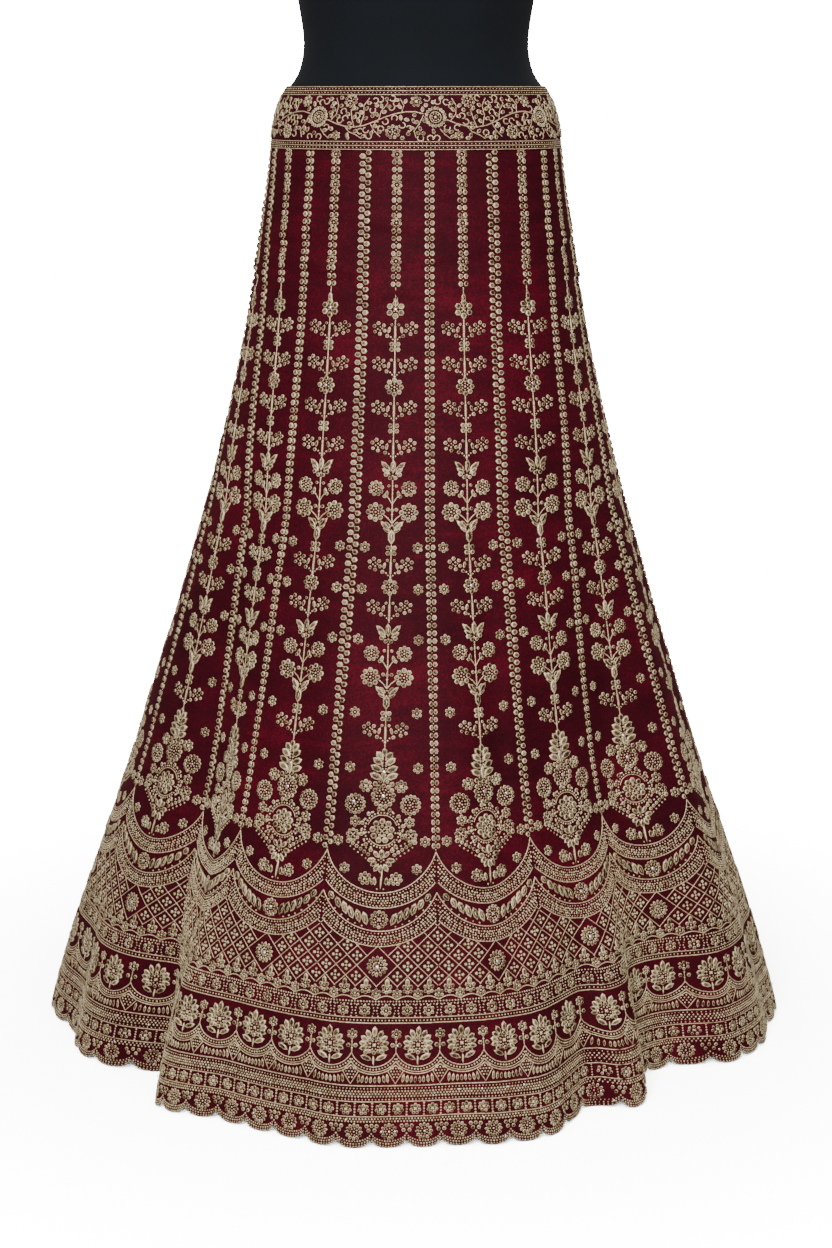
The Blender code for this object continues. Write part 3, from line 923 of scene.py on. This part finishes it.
def drop_shape(x):
    """A pointed drop full of beads, hung from a cusp of the small scallops."""
    cord([(x, 940), (x + 7.6, 950.5), (x, 963.5), (x - 7.6, 950.5), (x, 940)], 1.5)
    for row, count in enumerate((1, 3, 4, 3, 2)):
        for k in range(count):
            bead(x + 3 * (k - 0.5 * (count - 1)), 944.6 + 3 * row, 2.8)


def lotus_border():
    for j in range(-1, 2):
        lotus(panel_width(923) * j / LOTUSES, 923.4)
    for x in across_row(923, LOTUSES, 0.5):
        between_lotuses(x)
    for j in range(-1, 2):
        middle = j * 2 * SMALL_ARC[2]
        for drop, thick in ((0, 1.5), (5.2, 1.2), (7.4, 1.5)):
            cord([(middle + x, s) for x, s in scallop(SMALL_ARC, drop, 10)], thick)
        for x, s, turn in along(scallop(SMALL_ARC, 2.6, 12), 3.1):
            bead(middle + x, s, 2.9)
        for k in range(8):
            offset = 3.9 * (k - 3.5)
            top = arc_depth(SMALL_ARC, 9.2, offset)
            petal(middle + offset, top, middle + offset * 1.16, 963, 3.9)
    for x in across_row(950, LOTUSES, 0.5):
        drop_shape(x)


# The hem border.
# Rows of beads, a row of little flowers between posts, and at the edge one daisy in
# every scallop with a beaded rim that follows the cut of the cloth.


def hem_rim(j, inset, size):
    """One row of beads just inside the edge of one scallop."""
    rim = []
    for k in range(21):
        share = (k + 0.5) / 21
        bow = 1 - math.sqrt(1 - (1.998 * share - 0.999) ** 2)
        x = ((j + share) / SCALLOPS_A_PANEL - 0.5) * panel_width(1022)
        rim.append((x, PANEL_LENGTH - inset - 1000 * SCALLOP_DEPTH * bow))
    for x, s, turn in along(rim, size + 0.25):
        bead(x, s, size)


def hem_border():
    for s, thick in ((965.4, 1.6), (981.8, 1.4), (997.4, 1.4)):
        level_cord(s, thick)
    bead_row(968.2, 2.2, 3.4)
    for s, slip in ((971.2, 0), (973.8, 0.5), (976.4, 0)):
        bead_row(s, 3.1, 3.1, slip)
    bead_row(979.6, 2.2, 3.4)
    for x in across_row(989.6, 8):
        flower(x, 989.6, 12.2, 7)
        for k in range(5):
            bead(x + panel_width(989.6) / 16, 983.6 + 3 * k, 3.1)
    bead_row(999.8, 3, 3.1)
    bead_row(1002.4, 3, 3.1, 0.5)
    width = panel_width(1012)
    for j in range(SCALLOPS_A_PANEL):
        daisy(width * ((j + 0.5) / SCALLOPS_A_PANEL - 0.5), 1013, 19, 12)
        corner = width * ((j + 1) / SCALLOPS_A_PANEL - 0.5)
        for dx, s in ((-5, 1007), (0, 1006.6), (5, 1007), (-3, 1011.4), (3, 1011.4)):
            ring(corner + dx, s, 4.9)
        bead(corner, 1015.2, 3)
        for inset, size in ((1.5, 2.6), (4.2, 2.7), (6.9, 2.5)):
            hem_rim(j, inset, size)


def panel_work(chain):
    """All the thread work of one panel, with the chain on its right-hand seam."""
    for kind in (work, laid_cords, spangles):
        kind.clear()
    seam_chain(*chain)
    flower_column()
    scattered_flowers()
    beaded_band(UPPER_ARC)
    garland()
    beaded_band(LOWER_ARC)
    lattice()
    bud_row()
    flower_row()
    lotus_border()
    hem_border()
    return np.array(work), list(laid_cords), list(spangles)


# Sewing the work to the cloth.
# Every stitch is set on the velvet where it belongs, turned with the cloth and couched
# down; laid cords run over the surface half sunk in the pile.
HEIGHT_A_MM = (BAND_FOOT - HEM_TIP) / PANEL_LENGTH
CORD_STEP = 12.0
SURFACE_STEP = 0.3
CORD_SIDES = 4
CORD_PAINTED_LIGHT = 0.72
CORD_TONE = 0.65
# What is marked at each place for the tree to read.
MARKS = {"out": "FLOAT_VECTOR", "heading": "FLOAT_VECTOR", "size": "FLOAT_VECTOR",
         "shape": "INT", "tone": "FLOAT"}


def on_panel(k):
    """A surface for panel k that takes millimetres across and down."""
    def place(x, s):
        width = np.interp(s, WIDTH_ROWS, WIDTHS)
        return cloth_point(k - 2.5 + x / width, BAND_FOOT - s * HEIGHT_A_MM)
    return place


def antique_zari(name, dark, body, light):
    """Gilt silver thread gone soft and pale, with painted highlight on the coils and painted shade
    in their hearts.
    """
    material, tree, shader, spot = new_material(name)
    lift, tone = (add_node(tree, "ShaderNodeAttribute", attribute_name=label).outputs["Fac"]
                  for label in ("lift", "tone"))
    # Wound thread is 0.3 mm thick; the windings are drawn 1.4 mm apart so that they show.
    wound = add_node(tree, "ShaderNodeTexNoise", {"Vector": spot, "Scale": 700, "Detail": 2})
    worn = add_node(tree, "ShaderNodeTexNoise", {"Vector": spot, "Scale": 60, "Detail": 3})
    # The lift of each point is its painted light and shade; wound, tone and worn add the thread's
    # own unevenness.
    shade = add_node(tree, "ShaderNodeMath", {0: lift, 1: 1.6}, operation="POWER")
    for part, weight in ((wound, 1.5), (tone, 0.6), (worn, 0.3)):
        shade = add_node(tree, "ShaderNodeMath", {0: part, 1: weight, 2: shade},
                         operation="MULTIPLY_ADD")
    spread = add_node(tree, "ShaderNodeMath", {0: shade, 1: 0.42}, operation="MULTIPLY")
    colour_and_raise(tree, shader, spread, ((0.46, dark), (0.7, body), (0.94, light)),
                     wound, 0.35, 0.0004)
    set_sockets(shader, {"Metallic": 0.32, "Roughness": 0.42})
    return material


def sewing_tree():
    """Instances one small shape at each marked place, sweeps the cords, and joins them."""
    tree = bpy.data.node_groups.new("couched thread work", "GeometryNodeTree")
    inputs = [("Places", "Geometry"), ("Cords", "Object"), ("Thread", "Material"),
              ("Cord sides", "Int")] + [(name, "Object") for name in SHAPES]
    for name, kind in inputs:
        tree.interface.new_socket(name, in_out="INPUT", socket_type="NodeSocket" + kind)
    tree.interface.new_socket("Work", in_out="OUTPUT", socket_type="NodeSocketGeometry")
    given = add_node(tree, "NodeGroupInput").outputs
    marked = {}
    for name, kind in MARKS.items():
        mark = add_node(tree, "GeometryNodeInputNamedAttribute", {"Name": name}, data_type=kind)
        marked[name] = mark.outputs["Attribute"]
    stand = add_node(tree, "FunctionNodeAlignRotationToVector", {"Vector": marked["out"]},
                     axis="Z")
    turn = add_node(tree, "FunctionNodeAlignRotationToVector",
                    {"Rotation": stand, "Vector": marked["heading"]}, axis="X", pivot_axis="Z")
    joined = add_node(tree, "GeometryNodeJoinGeometry")
    for number, name in enumerate(SHAPES):
        chosen = add_node(tree, "FunctionNodeCompare", data_type="INT", operation="EQUAL")
        set_sockets(chosen, {2: marked["shape"], 3: number})
        shape = add_node(tree, "GeometryNodeObjectInfo",
                         {"Object": given[name], "As Instance": True})
        sewn = add_node(tree, "GeometryNodeInstanceOnPoints",
                        {"Points": given["Places"], "Selection": chosen, "Rotation": turn,
                         "Instance": shape.outputs["Geometry"], "Scale": marked["size"]})
        set_sockets(joined, {"Geometry": sewn})
    lines = add_node(tree, "GeometryNodeObjectInfo", {"Object": given["Cords"]})
    rim = add_node(tree, "GeometryNodeCurvePrimitiveCircle",
                   {"Resolution": given["Cord sides"], "Radius": 1.0})
    thickness = add_node(tree, "GeometryNodeInputRadius")
    swept = add_node(tree, "GeometryNodeCurveToMesh",
                     {"Curve": lines.outputs["Geometry"], "Profile Curve": rim,
                      "Scale": thickness, "Fill Caps": True})
    # Cords carry one even level of painted light and shade, and one tone.
    for name, value in (("lift", CORD_PAINTED_LIGHT), ("tone", CORD_TONE)):
        swept = add_node(tree, "GeometryNodeStoreNamedAttribute",
                         {"Geometry": swept, "Name": name, "Value": value})
    set_sockets(joined, {"Geometry": add_node(tree, "GeometryNodeSetShadeSmooth",
                                              {"Geometry": swept})})
    real = add_node(tree, "GeometryNodeRealizeInstances", {"Geometry": joined})
    coated = add_node(tree, "GeometryNodeSetMaterial",
                      {"Geometry": real, "Material": given["Thread"]})
    add_node(tree, "NodeGroupOutput", {"Work": coated})
    return tree


def places_object(name, surface, rows):
    """Marked places on a surface: which shape, how it stands, heads and how big it is."""
    x, s = rows[:, 1], rows[:, 2]
    across = unit(surface(x + SURFACE_STEP, s) - surface(x - SURFACE_STEP, s))
    down = unit(surface(x, s + SURFACE_STEP) - surface(x, s - SURFACE_STEP))
    turn = np.radians(rows[:, 3])[:, None]
    values = {"out": unit(np.cross(down, across)), "size": rows[:, 4:7] * 0.001,
              "heading": across * np.cos(turn) + down * np.sin(turn),
              "shape": rows[:, 0], "tone": rows[:, 7]}
    mesh = new_mesh(name, surface(x, s), [])
    for label, kind in MARKS.items():
        numbers = values[label].astype(np.int32 if kind == "INT" else np.float32).ravel()
        mark = mesh.attributes.new(label, kind, "POINT")
        mark.data.foreach_set("vector" if kind == "FLOAT_VECTOR" else "value", numbers)
    return in_scene(name, mesh)


def cords_object(name, surface, cords):
    """The laid cords as one curve, with points close enough to follow the cloth."""
    curve = bpy.data.curves.new(name, "CURVE")
    curve.dimensions = "3D"
    for path, thick in cords:
        ends = np.array(path, dtype=float)
        counts = np.ceil(np.linalg.norm(np.diff(ends, axis=0), axis=1) / CORD_STEP)
        spots = [ends[:1]]
        for first, last, count in zip(ends[:-1], ends[1:], counts):
            share = np.arange(1, int(count) + 1)[:, None] / max(count, 1.0)
            spots.append(first + (last - first) * share)
        spots = np.concatenate(spots)
        spline = curve.splines.new("POLY")
        spline.points.add(len(spots) - 1)
        for point, spot in zip(spline.points, surface(spots[:, 0], spots[:, 1]).tolist()):
            point.co = spot + [1.0]
            point.radius = 0.0005 * thick
    return in_scene(name, curve)


def sew_down(name, surface, rows, cords, thread, jitter_seed):
    """Run the sewing tree over one surface and keep the result as a plain mesh."""
    rng = np.random.default_rng(jitter_seed)
    rows = rows.copy()
    rows[:, 7] = rows[:, 7] + rng.uniform(-0.4, 0.45, len(rows))
    rows[:, 3] = rows[:, 3] + rng.uniform(-4.0, 4.0, len(rows))
    places = places_object(name + "_places", surface, rows)
    lines = cords_object(name + "_cords", surface, cords)
    modifier = places.modifiers.new("sewing", "NODES")
    modifier.node_group = SEWING
    given = {"Cords": lines, "Thread": thread, "Cord sides": CORD_SIDES}
    given.update(zip(SHAPES, shape_objects))
    for item in SEWING.interface.items_tree:
        if item.in_out == "INPUT" and item.name in given:
            modifier[item.identifier] = given[item.name]
    view = bpy.context.evaluated_depsgraph_get()
    mesh = bpy.data.meshes.new_from_object(places.evaluated_get(view))
    mesh.name = name
    bpy.data.objects.remove(places, do_unlink=True)
    bpy.data.objects.remove(lines, do_unlink=True)
    piece = in_scene(name, mesh)
    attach(piece, "root")
    return piece


SEWING = sewing_tree()
# Colours: the dark end holds the painted shade of the hearts, then the thread's own colour, then the
# painted highlight of the crests.
ZARI = antique_zari("antique gilt zari", "#2a1110", "#b09066", "#fff0c6")
plain_seam = panel_work(EVEN_CHAIN)
wide_seam = panel_work(STAGGERED_CHAIN)
for k in range(PANELS):
    rows, cords, marks = wide_seam if k % 2 == 1 else plain_seam
    piece = sew_down("panel_zari_%02d" % (k + 1), on_panel(k), rows, cords, ZARI, 100 + k)

# Spangles.
# Flat cupped sequins of silvered metal, sewn through the middle with a knot, at the
# hearts of the larger flowers. A few have been lost, as on any such skirt.
SPANGLE_METAL, tree, shader, spot = new_material("silvered brass sequin")
dents = add_node(tree, "ShaderNodeTexNoise", {"Vector": spot, "Scale": 500})
bump = add_node(tree, "ShaderNodeBump", {"Height": dents, "Strength": 0.2, "Distance": 0.0004})
set_sockets(shader, {"Base Color": linear("#fff1da"), "Metallic": 1, "Roughness": 0.18,
                     "Normal": bump})
SPANGLE_KIND = SHAPES.index("spangle")
SPANGLE_RISE = 0.0016
# Where sequins may lie besides the flowers' hearts: across, down, how wide.
SPANGLES_MORE = [(0, 248.8, 4.2), (0, 167, 4), (0, 455.7, 4.2), (17.2, 971, 3.6),
                 (-45, 1003, 3.4), (30, 676, 4.2), (-30, 676, 4.2)]
SPANGLE_ROWS = [888, 924, 971.2, 973.8, 976.4, 989.6, 1001, 1013, 1022]
SPANGLES_LOW = 8


def above_panel(k):
    """The surface of panel k, raised to the tops of the stitches."""
    flat = on_panel(k)

    def place(x, s):
        down = flat(x, s + SURFACE_STEP) - flat(x, s - SURFACE_STEP)
        across = flat(x + SURFACE_STEP, s) - flat(x - SURFACE_STEP, s)
        return flat(x, s) + SPANGLE_RISE * unit(np.cross(down, across))
    return place


loose = random.Random(7)
for k in range(PANELS):
    marks = [m for m in plain_seam[2] if loose.random() < 0.75]
    marks = marks + [m for m in SPANGLES_MORE if loose.random() < 0.45]
    marks = marks + [(loose.uniform(-60, 60), loose.choice(SPANGLE_ROWS), 2.8)
                     for n in range(SPANGLES_LOW)]
    rows = np.array([(SPANGLE_KIND, x, s, 0.0, size, size, 1.2, 0.0) for x, s, size in marks])
    piece = sew_down("panel_spangles_%02d" % (k + 1), above_panel(k), rows, [], SPANGLE_METAL,
                     300 + k)

# Thread work on the waistband.
# A long waving stem joins great round flowers; outlined curls, drops and rings branch
# from it and fill the ground, between triple beaded lines at the top and the foot.
BAND_REPEAT = 118.6
BAND_REPEATS = 7
BAND_ROUND = BAND_REPEAT * BAND_REPEATS
BAND_START = 78.0
BAND_SWELL = 7.1
band_angles = np.linspace(-180.0, 180.0, 721)
band_line = band_point(band_angles, np.full_like(band_angles, 1.03))
band_reach = np.cumsum(np.linalg.norm(np.diff(band_line, axis=0), axis=1))
band_reach = np.concatenate([[0.0], band_reach * BAND_ROUND / band_reach[-1]])


def on_band(x, s):
    """The band by millimetres round from the back and down from its top edge."""
    x = x - BAND_SWELL * np.sin(2.0 * math.pi * x / BAND_ROUND)
    angle = np.interp(x % BAND_ROUND, band_reach, band_angles)
    return band_point(angle + 360.0 * np.floor(x / BAND_ROUND), BAND_TOP - 0.001 * s)


# Flowers: place along the repeat and down, how wide, how many petals.
BAND_FLOWERS = [(34, 15.4, 14.8, 10), (78, 47, 15.4, 9), (100, 16, 12.6, 7), (22, 50.6, 9.4, 6)]
ROSETTE_DOWN = 32.0
ROSETTE_WIDE = 23.0
# The stem, then the twigs that leave it: places along the repeat and down.
BAND_STEM = [(10.5, 34.5), (20, 38.5), (30, 41.3), (40, 42.2), (50, 40.5), (60, 36.5),
             (70, 32), (80, 28.5), (90, 26.6), (98, 26.4), (107, 28.5)]
BAND_TWIGS = [[(46, 41.4), (49, 30), (48, 20), (53, 12.5)],
              [(64, 34.8), (66, 26), (72, 18), (70, 12)],
              [(86, 27.4), (88, 20), (84, 13)],
              [(107, 30), (103, 39), (98, 46), (100, 53)],
              [(14, 36.2), (20, 29), (21, 20), (17, 12.5)],
              [(30, 41), (35, 47), (42, 50), (48, 54)],
              [(40, 42.2), (37, 33), (35, 24)],
              [(56, 38.6), (60, 46), (66, 52)],
              [(4, 44), (9, 50), (14, 54)]]
CURL_GAP = 5.2
GROUND_TRIES = 1500


def rosette(x, s, size):
    """The great round flower of the band: fine rays, a bare ring, and a full heart."""
    for k in range(20):
        ray(x, s, 0.3 * size, 0.5 * size, 18 * k, 0.17 * size, 0.8)
    cord([polar(x, s, 0.24 * size, 30 * k) for k in range(13)], 1.1)
    for k in range(9):
        bead(*polar(x, s, 0.155 * size, 40 * k), 2.4)
    bead(x, s, 4.8, 1)


def curls_on_twigs(start):
    """Outlined loops set left and right along every twig, on a short stalk each."""
    for twig in BAND_TWIGS:
        cord([(start + x, s) for x, s in twig], 1.2)
        for k, (x, s, turn) in enumerate(along(twig, 4.6)):
            turn = turn + (52 if k % 2 else -52)
            if 10.4 < polar(x, s, 7.6, turn)[1] < 55.6:
                ray(start + x, s, 1, 7.6, turn, 5)


def loops_on_ground(start, chance):
    """Open curls, loops and rings on what velvet the flowers and twigs leave bare."""
    taken = [(x, s, 0.5 * size + 3) for x, s, size, petals in BAND_FLOWERS]
    taken.append((0, ROSETTE_DOWN, 0.5 * ROSETTE_WIDE + 3))
    taken = taken + [(x + BAND_REPEAT, s, reach) for x, s, reach in taken]
    for path, reach in [(twig, 5.4) for twig in BAND_TWIGS] + [(BAND_STEM, 3.6)]:
        taken = taken + [(x, s, reach) for x, s, turn in along(path, 4)]
    for attempt in range(GROUND_TRIES):
        x = chance.uniform(2, BAND_REPEAT + 2)
        s = chance.uniform(12.4, 53.6)
        if all(math.hypot(x - tx, s - ts) > reach for tx, ts, reach in taken):
            taken.append((x, s, CURL_GAP))
            turn = chance.uniform(0, 360)
            kind = chance.random()
            if kind < 0.5:
                cord([polar(start + x, s, 2.9, turn + 38 * k) for k in range(8)], 1.6)
            elif kind < 0.8:
                ray(start + x, s, 3.7, -3.7, turn, 4.8)
            else:
                ring(start + x, s, 5.4)


work.clear()
laid_cords.clear()
chance = random.Random(21)
for k in range(BAND_REPEATS):
    start = BAND_START + BAND_REPEAT * k
    rosette(start, ROSETTE_DOWN, ROSETTE_WIDE)
    for x, s, size, petals in BAND_FLOWERS:
        flower(start + x, s, size, petals)
    cord([(start + x, s) for x, s in BAND_STEM], 1.5)
    curls_on_twigs(start)
    loops_on_ground(start, chance)
# Three laid lines at each edge of the band, with a row of beads in both gaps.
EDGE_BEAD_PITCH = 3.9
for edge, way in ((1, 1), (65, -1)):
    for off in (0, 4, 8):
        cord([(BAND_ROUND * k / 160, edge + way * off) for k in range(161)], 1.05)
    for off in (2, 6):
        for k in range(int(BAND_ROUND / EDGE_BEAD_PITCH)):
            bead(EDGE_BEAD_PITCH * k, edge + way * off, 1.8)
band_thread = sew_down("band_zari", on_band, np.array(work), list(laid_cords), ZARI, 9)

for item in shape_objects:
    bpy.data.objects.remove(item, do_unlink=True)

# The dress form.
# A moulded torso under a fine black knitted cover, smooth, with a turned wooden cap on
# its neck, on a painted steel pole and a round pressed steel base.
FORM_SIDES = 96
# Columns: height, half width, depth in front, depth behind.
FORM_LOW = [(0.8, 0.154, 0.108, 0.118), (0.83, 0.161, 0.115, 0.129),
            (0.87, 0.1655, 0.12, 0.137), (0.9, 0.1665, 0.1245, 0.14),
            (0.93, 0.165, 0.128, 0.1365)]
FORM_HIGH = [(1.072, 0.1305, 0.0945, 0.0985), (1.091, 0.1234, 0.09, 0.0905),
             (1.112, 0.1214, 0.0885, 0.085), (1.133, 0.1238, 0.0895, 0.0845),
             (1.154, 0.1272, 0.0915, 0.0865), (1.2, 0.1355, 0.0965, 0.094),
             (1.25, 0.1425, 0.101, 0.103), (1.3, 0.1475, 0.102, 0.109),
             (1.35, 0.154, 0.095, 0.111), (1.4, 0.164, 0.085, 0.108),
             (1.435, 0.17, 0.076, 0.1), (1.46, 0.165, 0.068, 0.09),
             (1.478, 0.144, 0.062, 0.079), (1.493, 0.113, 0.058, 0.069),
             (1.508, 0.083, 0.056, 0.061), (1.524, 0.064, 0.055, 0.056),
             (1.545, 0.0565, 0.0545, 0.0545), (1.57, 0.0545, 0.054, 0.054)]
# Under the skirt the form stays this far inside the cloth.
HELD_GAP = 0.0023
HELD = [[z] + [float(smooth_table(z, FALL[:, 0], FALL[:, n])) - HELD_GAP for n in (1, 2, 3)]
        for z in (0.955, 0.998, 1.017, 1.036, 1.049, 1.06, 1.064)]
FORM_TABLE = np.array(FORM_LOW + HELD + FORM_HIGH)
BUST_HEIGHT = 1.29
BUST_APART = 0.072
BUST_OUT = 0.03
BUST_SPREAD = 0.056


def form_point(turn, z):
    x, y = round_body(FORM_TABLE, turn, z)
    for side in (-1.0, 1.0):
        off = (x - side * BUST_APART) ** 2 + (z - BUST_HEIGHT) ** 2
        y = y - BUST_OUT * np.exp(-off / BUST_SPREAD ** 2) * np.maximum(0.0, np.cos(turn))
    return np.stack([x, y, z + 0.0 * turn], axis=-1) + CENTRE


def closed_turning(name, grid, material, node):
    """A closed round piece of the form from rings of points, foot first."""
    rows, columns = grid.shape[:2]
    number = np.arange(rows * columns).reshape(rows, columns)
    ahead = np.roll(number, -1, axis=1)
    faces = np.stack([number[:-1].ravel(), ahead[:-1].ravel(),
                      ahead[1:].ravel(), number[1:].ravel()], axis=1).tolist()
    faces = faces + [number[0, ::-1].tolist(), number[-1].tolist()]
    piece = finish_mesh(name, grid.reshape(-1, 3), faces, material, 50.0)
    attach(piece, "root")
    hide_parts(node)


JERSEY, tree, shader, spot = new_material("black knitted jersey")
# The knit has a loop each 0.8 mm, drawn 1.5 mm wide so that it shows.
stretched = add_node(tree, "ShaderNodeMapping", {"Vector": spot, "Scale": (1, 1, 0.6)})
knit = add_node(tree, "ShaderNodeTexNoise", {"Vector": stretched, "Scale": 650, "Detail": 1})
worn = add_node(tree, "ShaderNodeTexNoise", {"Vector": spot, "Scale": 12, "Detail": 3})
shades = add_node(tree, "ShaderNodeMix",
                  {"Factor": worn, 6: linear("#090c11"), 7: linear("#11151b")}, data_type="RGBA")
bump = add_node(tree, "ShaderNodeBump", {"Height": knit, "Strength": 0.2, "Distance": 0.0005})
set_sockets(shader, {"Base Color": shades.outputs[2], "Normal": bump, "Roughness": 0.85,
                     "Specular IOR Level": 0.2, "Sheen Weight": 0.03})
turn = np.linspace(0.0, 2.0 * math.pi, FORM_SIDES, endpoint=False)[None, :]
z = np.concatenate([np.linspace(0.8, 0.95, 12), np.linspace(0.955, 1.064, 14),
                    np.linspace(1.07, 1.57, 64)])[:, None]
closed_turning("form_torso_cover", form_point(turn + 0.0 * z, z + 0.0 * turn), JERSEY,
               "form_torso")


def turned_profile(profile, sides):
    turn = np.linspace(0.0, 2.0 * math.pi, sides, endpoint=False)
    rings = [np.stack([r * np.sin(turn), -r * np.cos(turn), np.full(sides, z)], axis=-1)
             for r, z in profile]
    return np.stack(rings) + CENTRE


def eased(radius, foot, top, round_off, steps=5):
    """A straight-sided profile with both edges rounded over."""
    turns = [0.5 * math.pi * k / steps for k in range(steps + 1)]
    low = [(radius - round_off * (1.0 - math.sin(turn)), foot + round_off * (1.0 - math.cos(turn)))
           for turn in turns]
    return low + [(r, foot + top - z) for r, z in reversed(low)]


WOOD, tree, shader, spot = new_material("stained turned beech")
grain = add_node(tree, "ShaderNodeTexNoise", {"Vector": spot, "Scale": 90, "Detail": 5})
stain = add_node(tree, "ShaderNodeMix",
                 {"Factor": grain, 6: linear("#1d1512"), 7: linear("#3b2b22")}, data_type="RGBA")
set_sockets(shader, {"Base Color": stain.outputs[2], "Roughness": 0.38})
NECK = 1.5703
CAP_SIDE = 0.012
CAP_DOME = 0.0078
cap_profile = eased(0.05, NECK, NECK + CAP_SIDE, 0.002)
for k in range(1, 10):
    turn = 0.05 * math.pi * k
    cap_profile.append((0.049 * math.cos(turn), NECK + CAP_SIDE + CAP_DOME * math.sin(turn)))
closed_turning("form_cap_turned", turned_profile(cap_profile, 72), WOOD, "form_neck_cap")

STEEL, tree, shader, spot = new_material("black painted steel")
orange_peel = add_node(tree, "ShaderNodeTexNoise", {"Vector": spot, "Scale": 260, "Detail": 2})
bump = add_node(tree, "ShaderNodeBump",
                {"Height": orange_peel, "Strength": 0.15, "Distance": 0.0005})
set_sockets(shader, {"Base Color": linear("#17181a"), "Roughness": 0.42, "Normal": bump})
POLE_RADIUS = 0.017
POLE_TOP = 0.7997
BASE_RADIUS = 0.19
BASE_THICK = 0.006
COLLAR_TOP = 0.032
pole_profile = eased(POLE_RADIUS, COLLAR_TOP + 0.0003, POLE_TOP, 0.001, 2)
closed_turning("form_pole_tube", turned_profile(pole_profile, 48), STEEL, "form_pole")
# Above the plate a collar rises in a hollow curve to hold the pole.
base_profile = eased(BASE_RADIUS, 0.0, BASE_THICK, 0.0018, 4)
base_profile = base_profile + [(0.042, BASE_THICK), (0.04, 0.0075), (0.038, 0.014),
                               (0.033, 0.0185), (0.0265, 0.0215), (0.025, 0.024),
                               (0.0245, COLLAR_TOP)]
closed_turning("form_base_plate", turned_profile(base_profile, 96), STEEL, "form_base")

# The studio.
# A plain white floor that runs far back, broad soft lights, and a camera at the height
# of the waistband that looks down at the middle of the skirt.
PAPER_NEAR = 0.45
PAPER_FAR = 1.3
# The camera sees the paper and the air bright, as in a shop photograph, while the light
# that they throw on the cloth stays plain.
SEEN_BRIGHT = 12.6
SEEN_AIR = 24.0
AIR_LIGHT = 0.36
FLOOR, tree, shader, spot = new_material("white paper sweep")
seen = add_node(tree, "ShaderNodeLightPath").outputs["Is Camera Ray"]
paper = add_node(tree, "ShaderNodeMix",
                 {0: seen, 6: linear("#a6a6a6"), 7: (SEEN_BRIGHT, SEEN_BRIGHT, SEEN_BRIGHT, 1)},
                 data_type="RGBA")
set_sockets(shader, {"Base Color": paper.outputs[2], "Roughness": 1, "Specular IOR Level": 0})
# Far off, the paper goes over into the same white as the air, so that no edge shows.
reach = add_node(tree, "ShaderNodeVectorMath", {0: spot}, operation="LENGTH")
far = add_node(tree, "ShaderNodeMapRange", {"Value": reach.outputs["Value"],
                                            "From Min": PAPER_NEAR, "From Max": PAPER_FAR})
share = add_node(tree, "ShaderNodeMath", {0: far, 1: seen}, operation="MULTIPLY")
glow = add_node(tree, "ShaderNodeEmission", {"Strength": SEEN_AIR})
sweep = add_node(tree, "ShaderNodeMixShader", {0: share, 1: shader, 2: glow})
set_sockets(tree.nodes["Material Output"], {"Surface": sweep})
bpy.ops.mesh.primitive_plane_add(size=60.0, location=(0.0, 0.0, -0.0002))
floor = bpy.context.object
floor.name = "studio_floor"
floor.data.materials.append(FLOOR)

world = bpy.data.worlds.new("studio air")
world.use_nodes = True
tree = world.node_tree
plain, bright = (add_node(tree, "ShaderNodeBackground", {"Color": (1, 1, 1, 1), "Strength": power})
                 for power in (AIR_LIGHT, SEEN_AIR))
seen = add_node(tree, "ShaderNodeLightPath").outputs["Is Camera Ray"]
air = add_node(tree, "ShaderNodeMixShader", {0: seen, 1: plain, 2: bright})
set_sockets(tree.nodes["World Output"], {"Surface": air})
bpy.context.scene.world = world

# Columns: name, place, what it faces, size, power.
LAMPS = [("key", (-0.5, -2.9, 2.7), (0.0, 0.0, 0.6), 1.6, 116.0),
         ("fill", (0.7, -3.2, 1.2), (0.0, 0.0, 0.5), 2.0, 30.0),
         ("back", (0.4, 2.6, 2.4), (0.0, 0.0, 0.7), 2.0, 5.0)]
for name, spot, target, size, power in LAMPS:
    light = bpy.data.lights.new(name, "AREA")
    light.shape = "SQUARE"
    light.size = size
    light.energy = power
    lamp = in_scene(name, light)
    x, y, z = np.array(target) - np.array(spot)
    lamp.location = spot
    lamp.rotation_euler = (math.atan2(math.hypot(x, y), -z), 0.0, math.atan2(-x, y))

CAMERA_BACK = 2.7
CAMERA_HEIGHT = 1.06
CAMERA_PITCH = 12.4
view = bpy.data.cameras.new("front view")
view.lens = 70.1
view.sensor_width = 36.0
camera = in_scene("front view", view)
camera.location = (float(CENTRE[0]), float(CENTRE[1]) - CAMERA_BACK, CAMERA_HEIGHT)
camera.rotation_euler = (math.radians(90.0 - CAMERA_PITCH), 0.0, 0.0)
bpy.context.scene.camera = camera
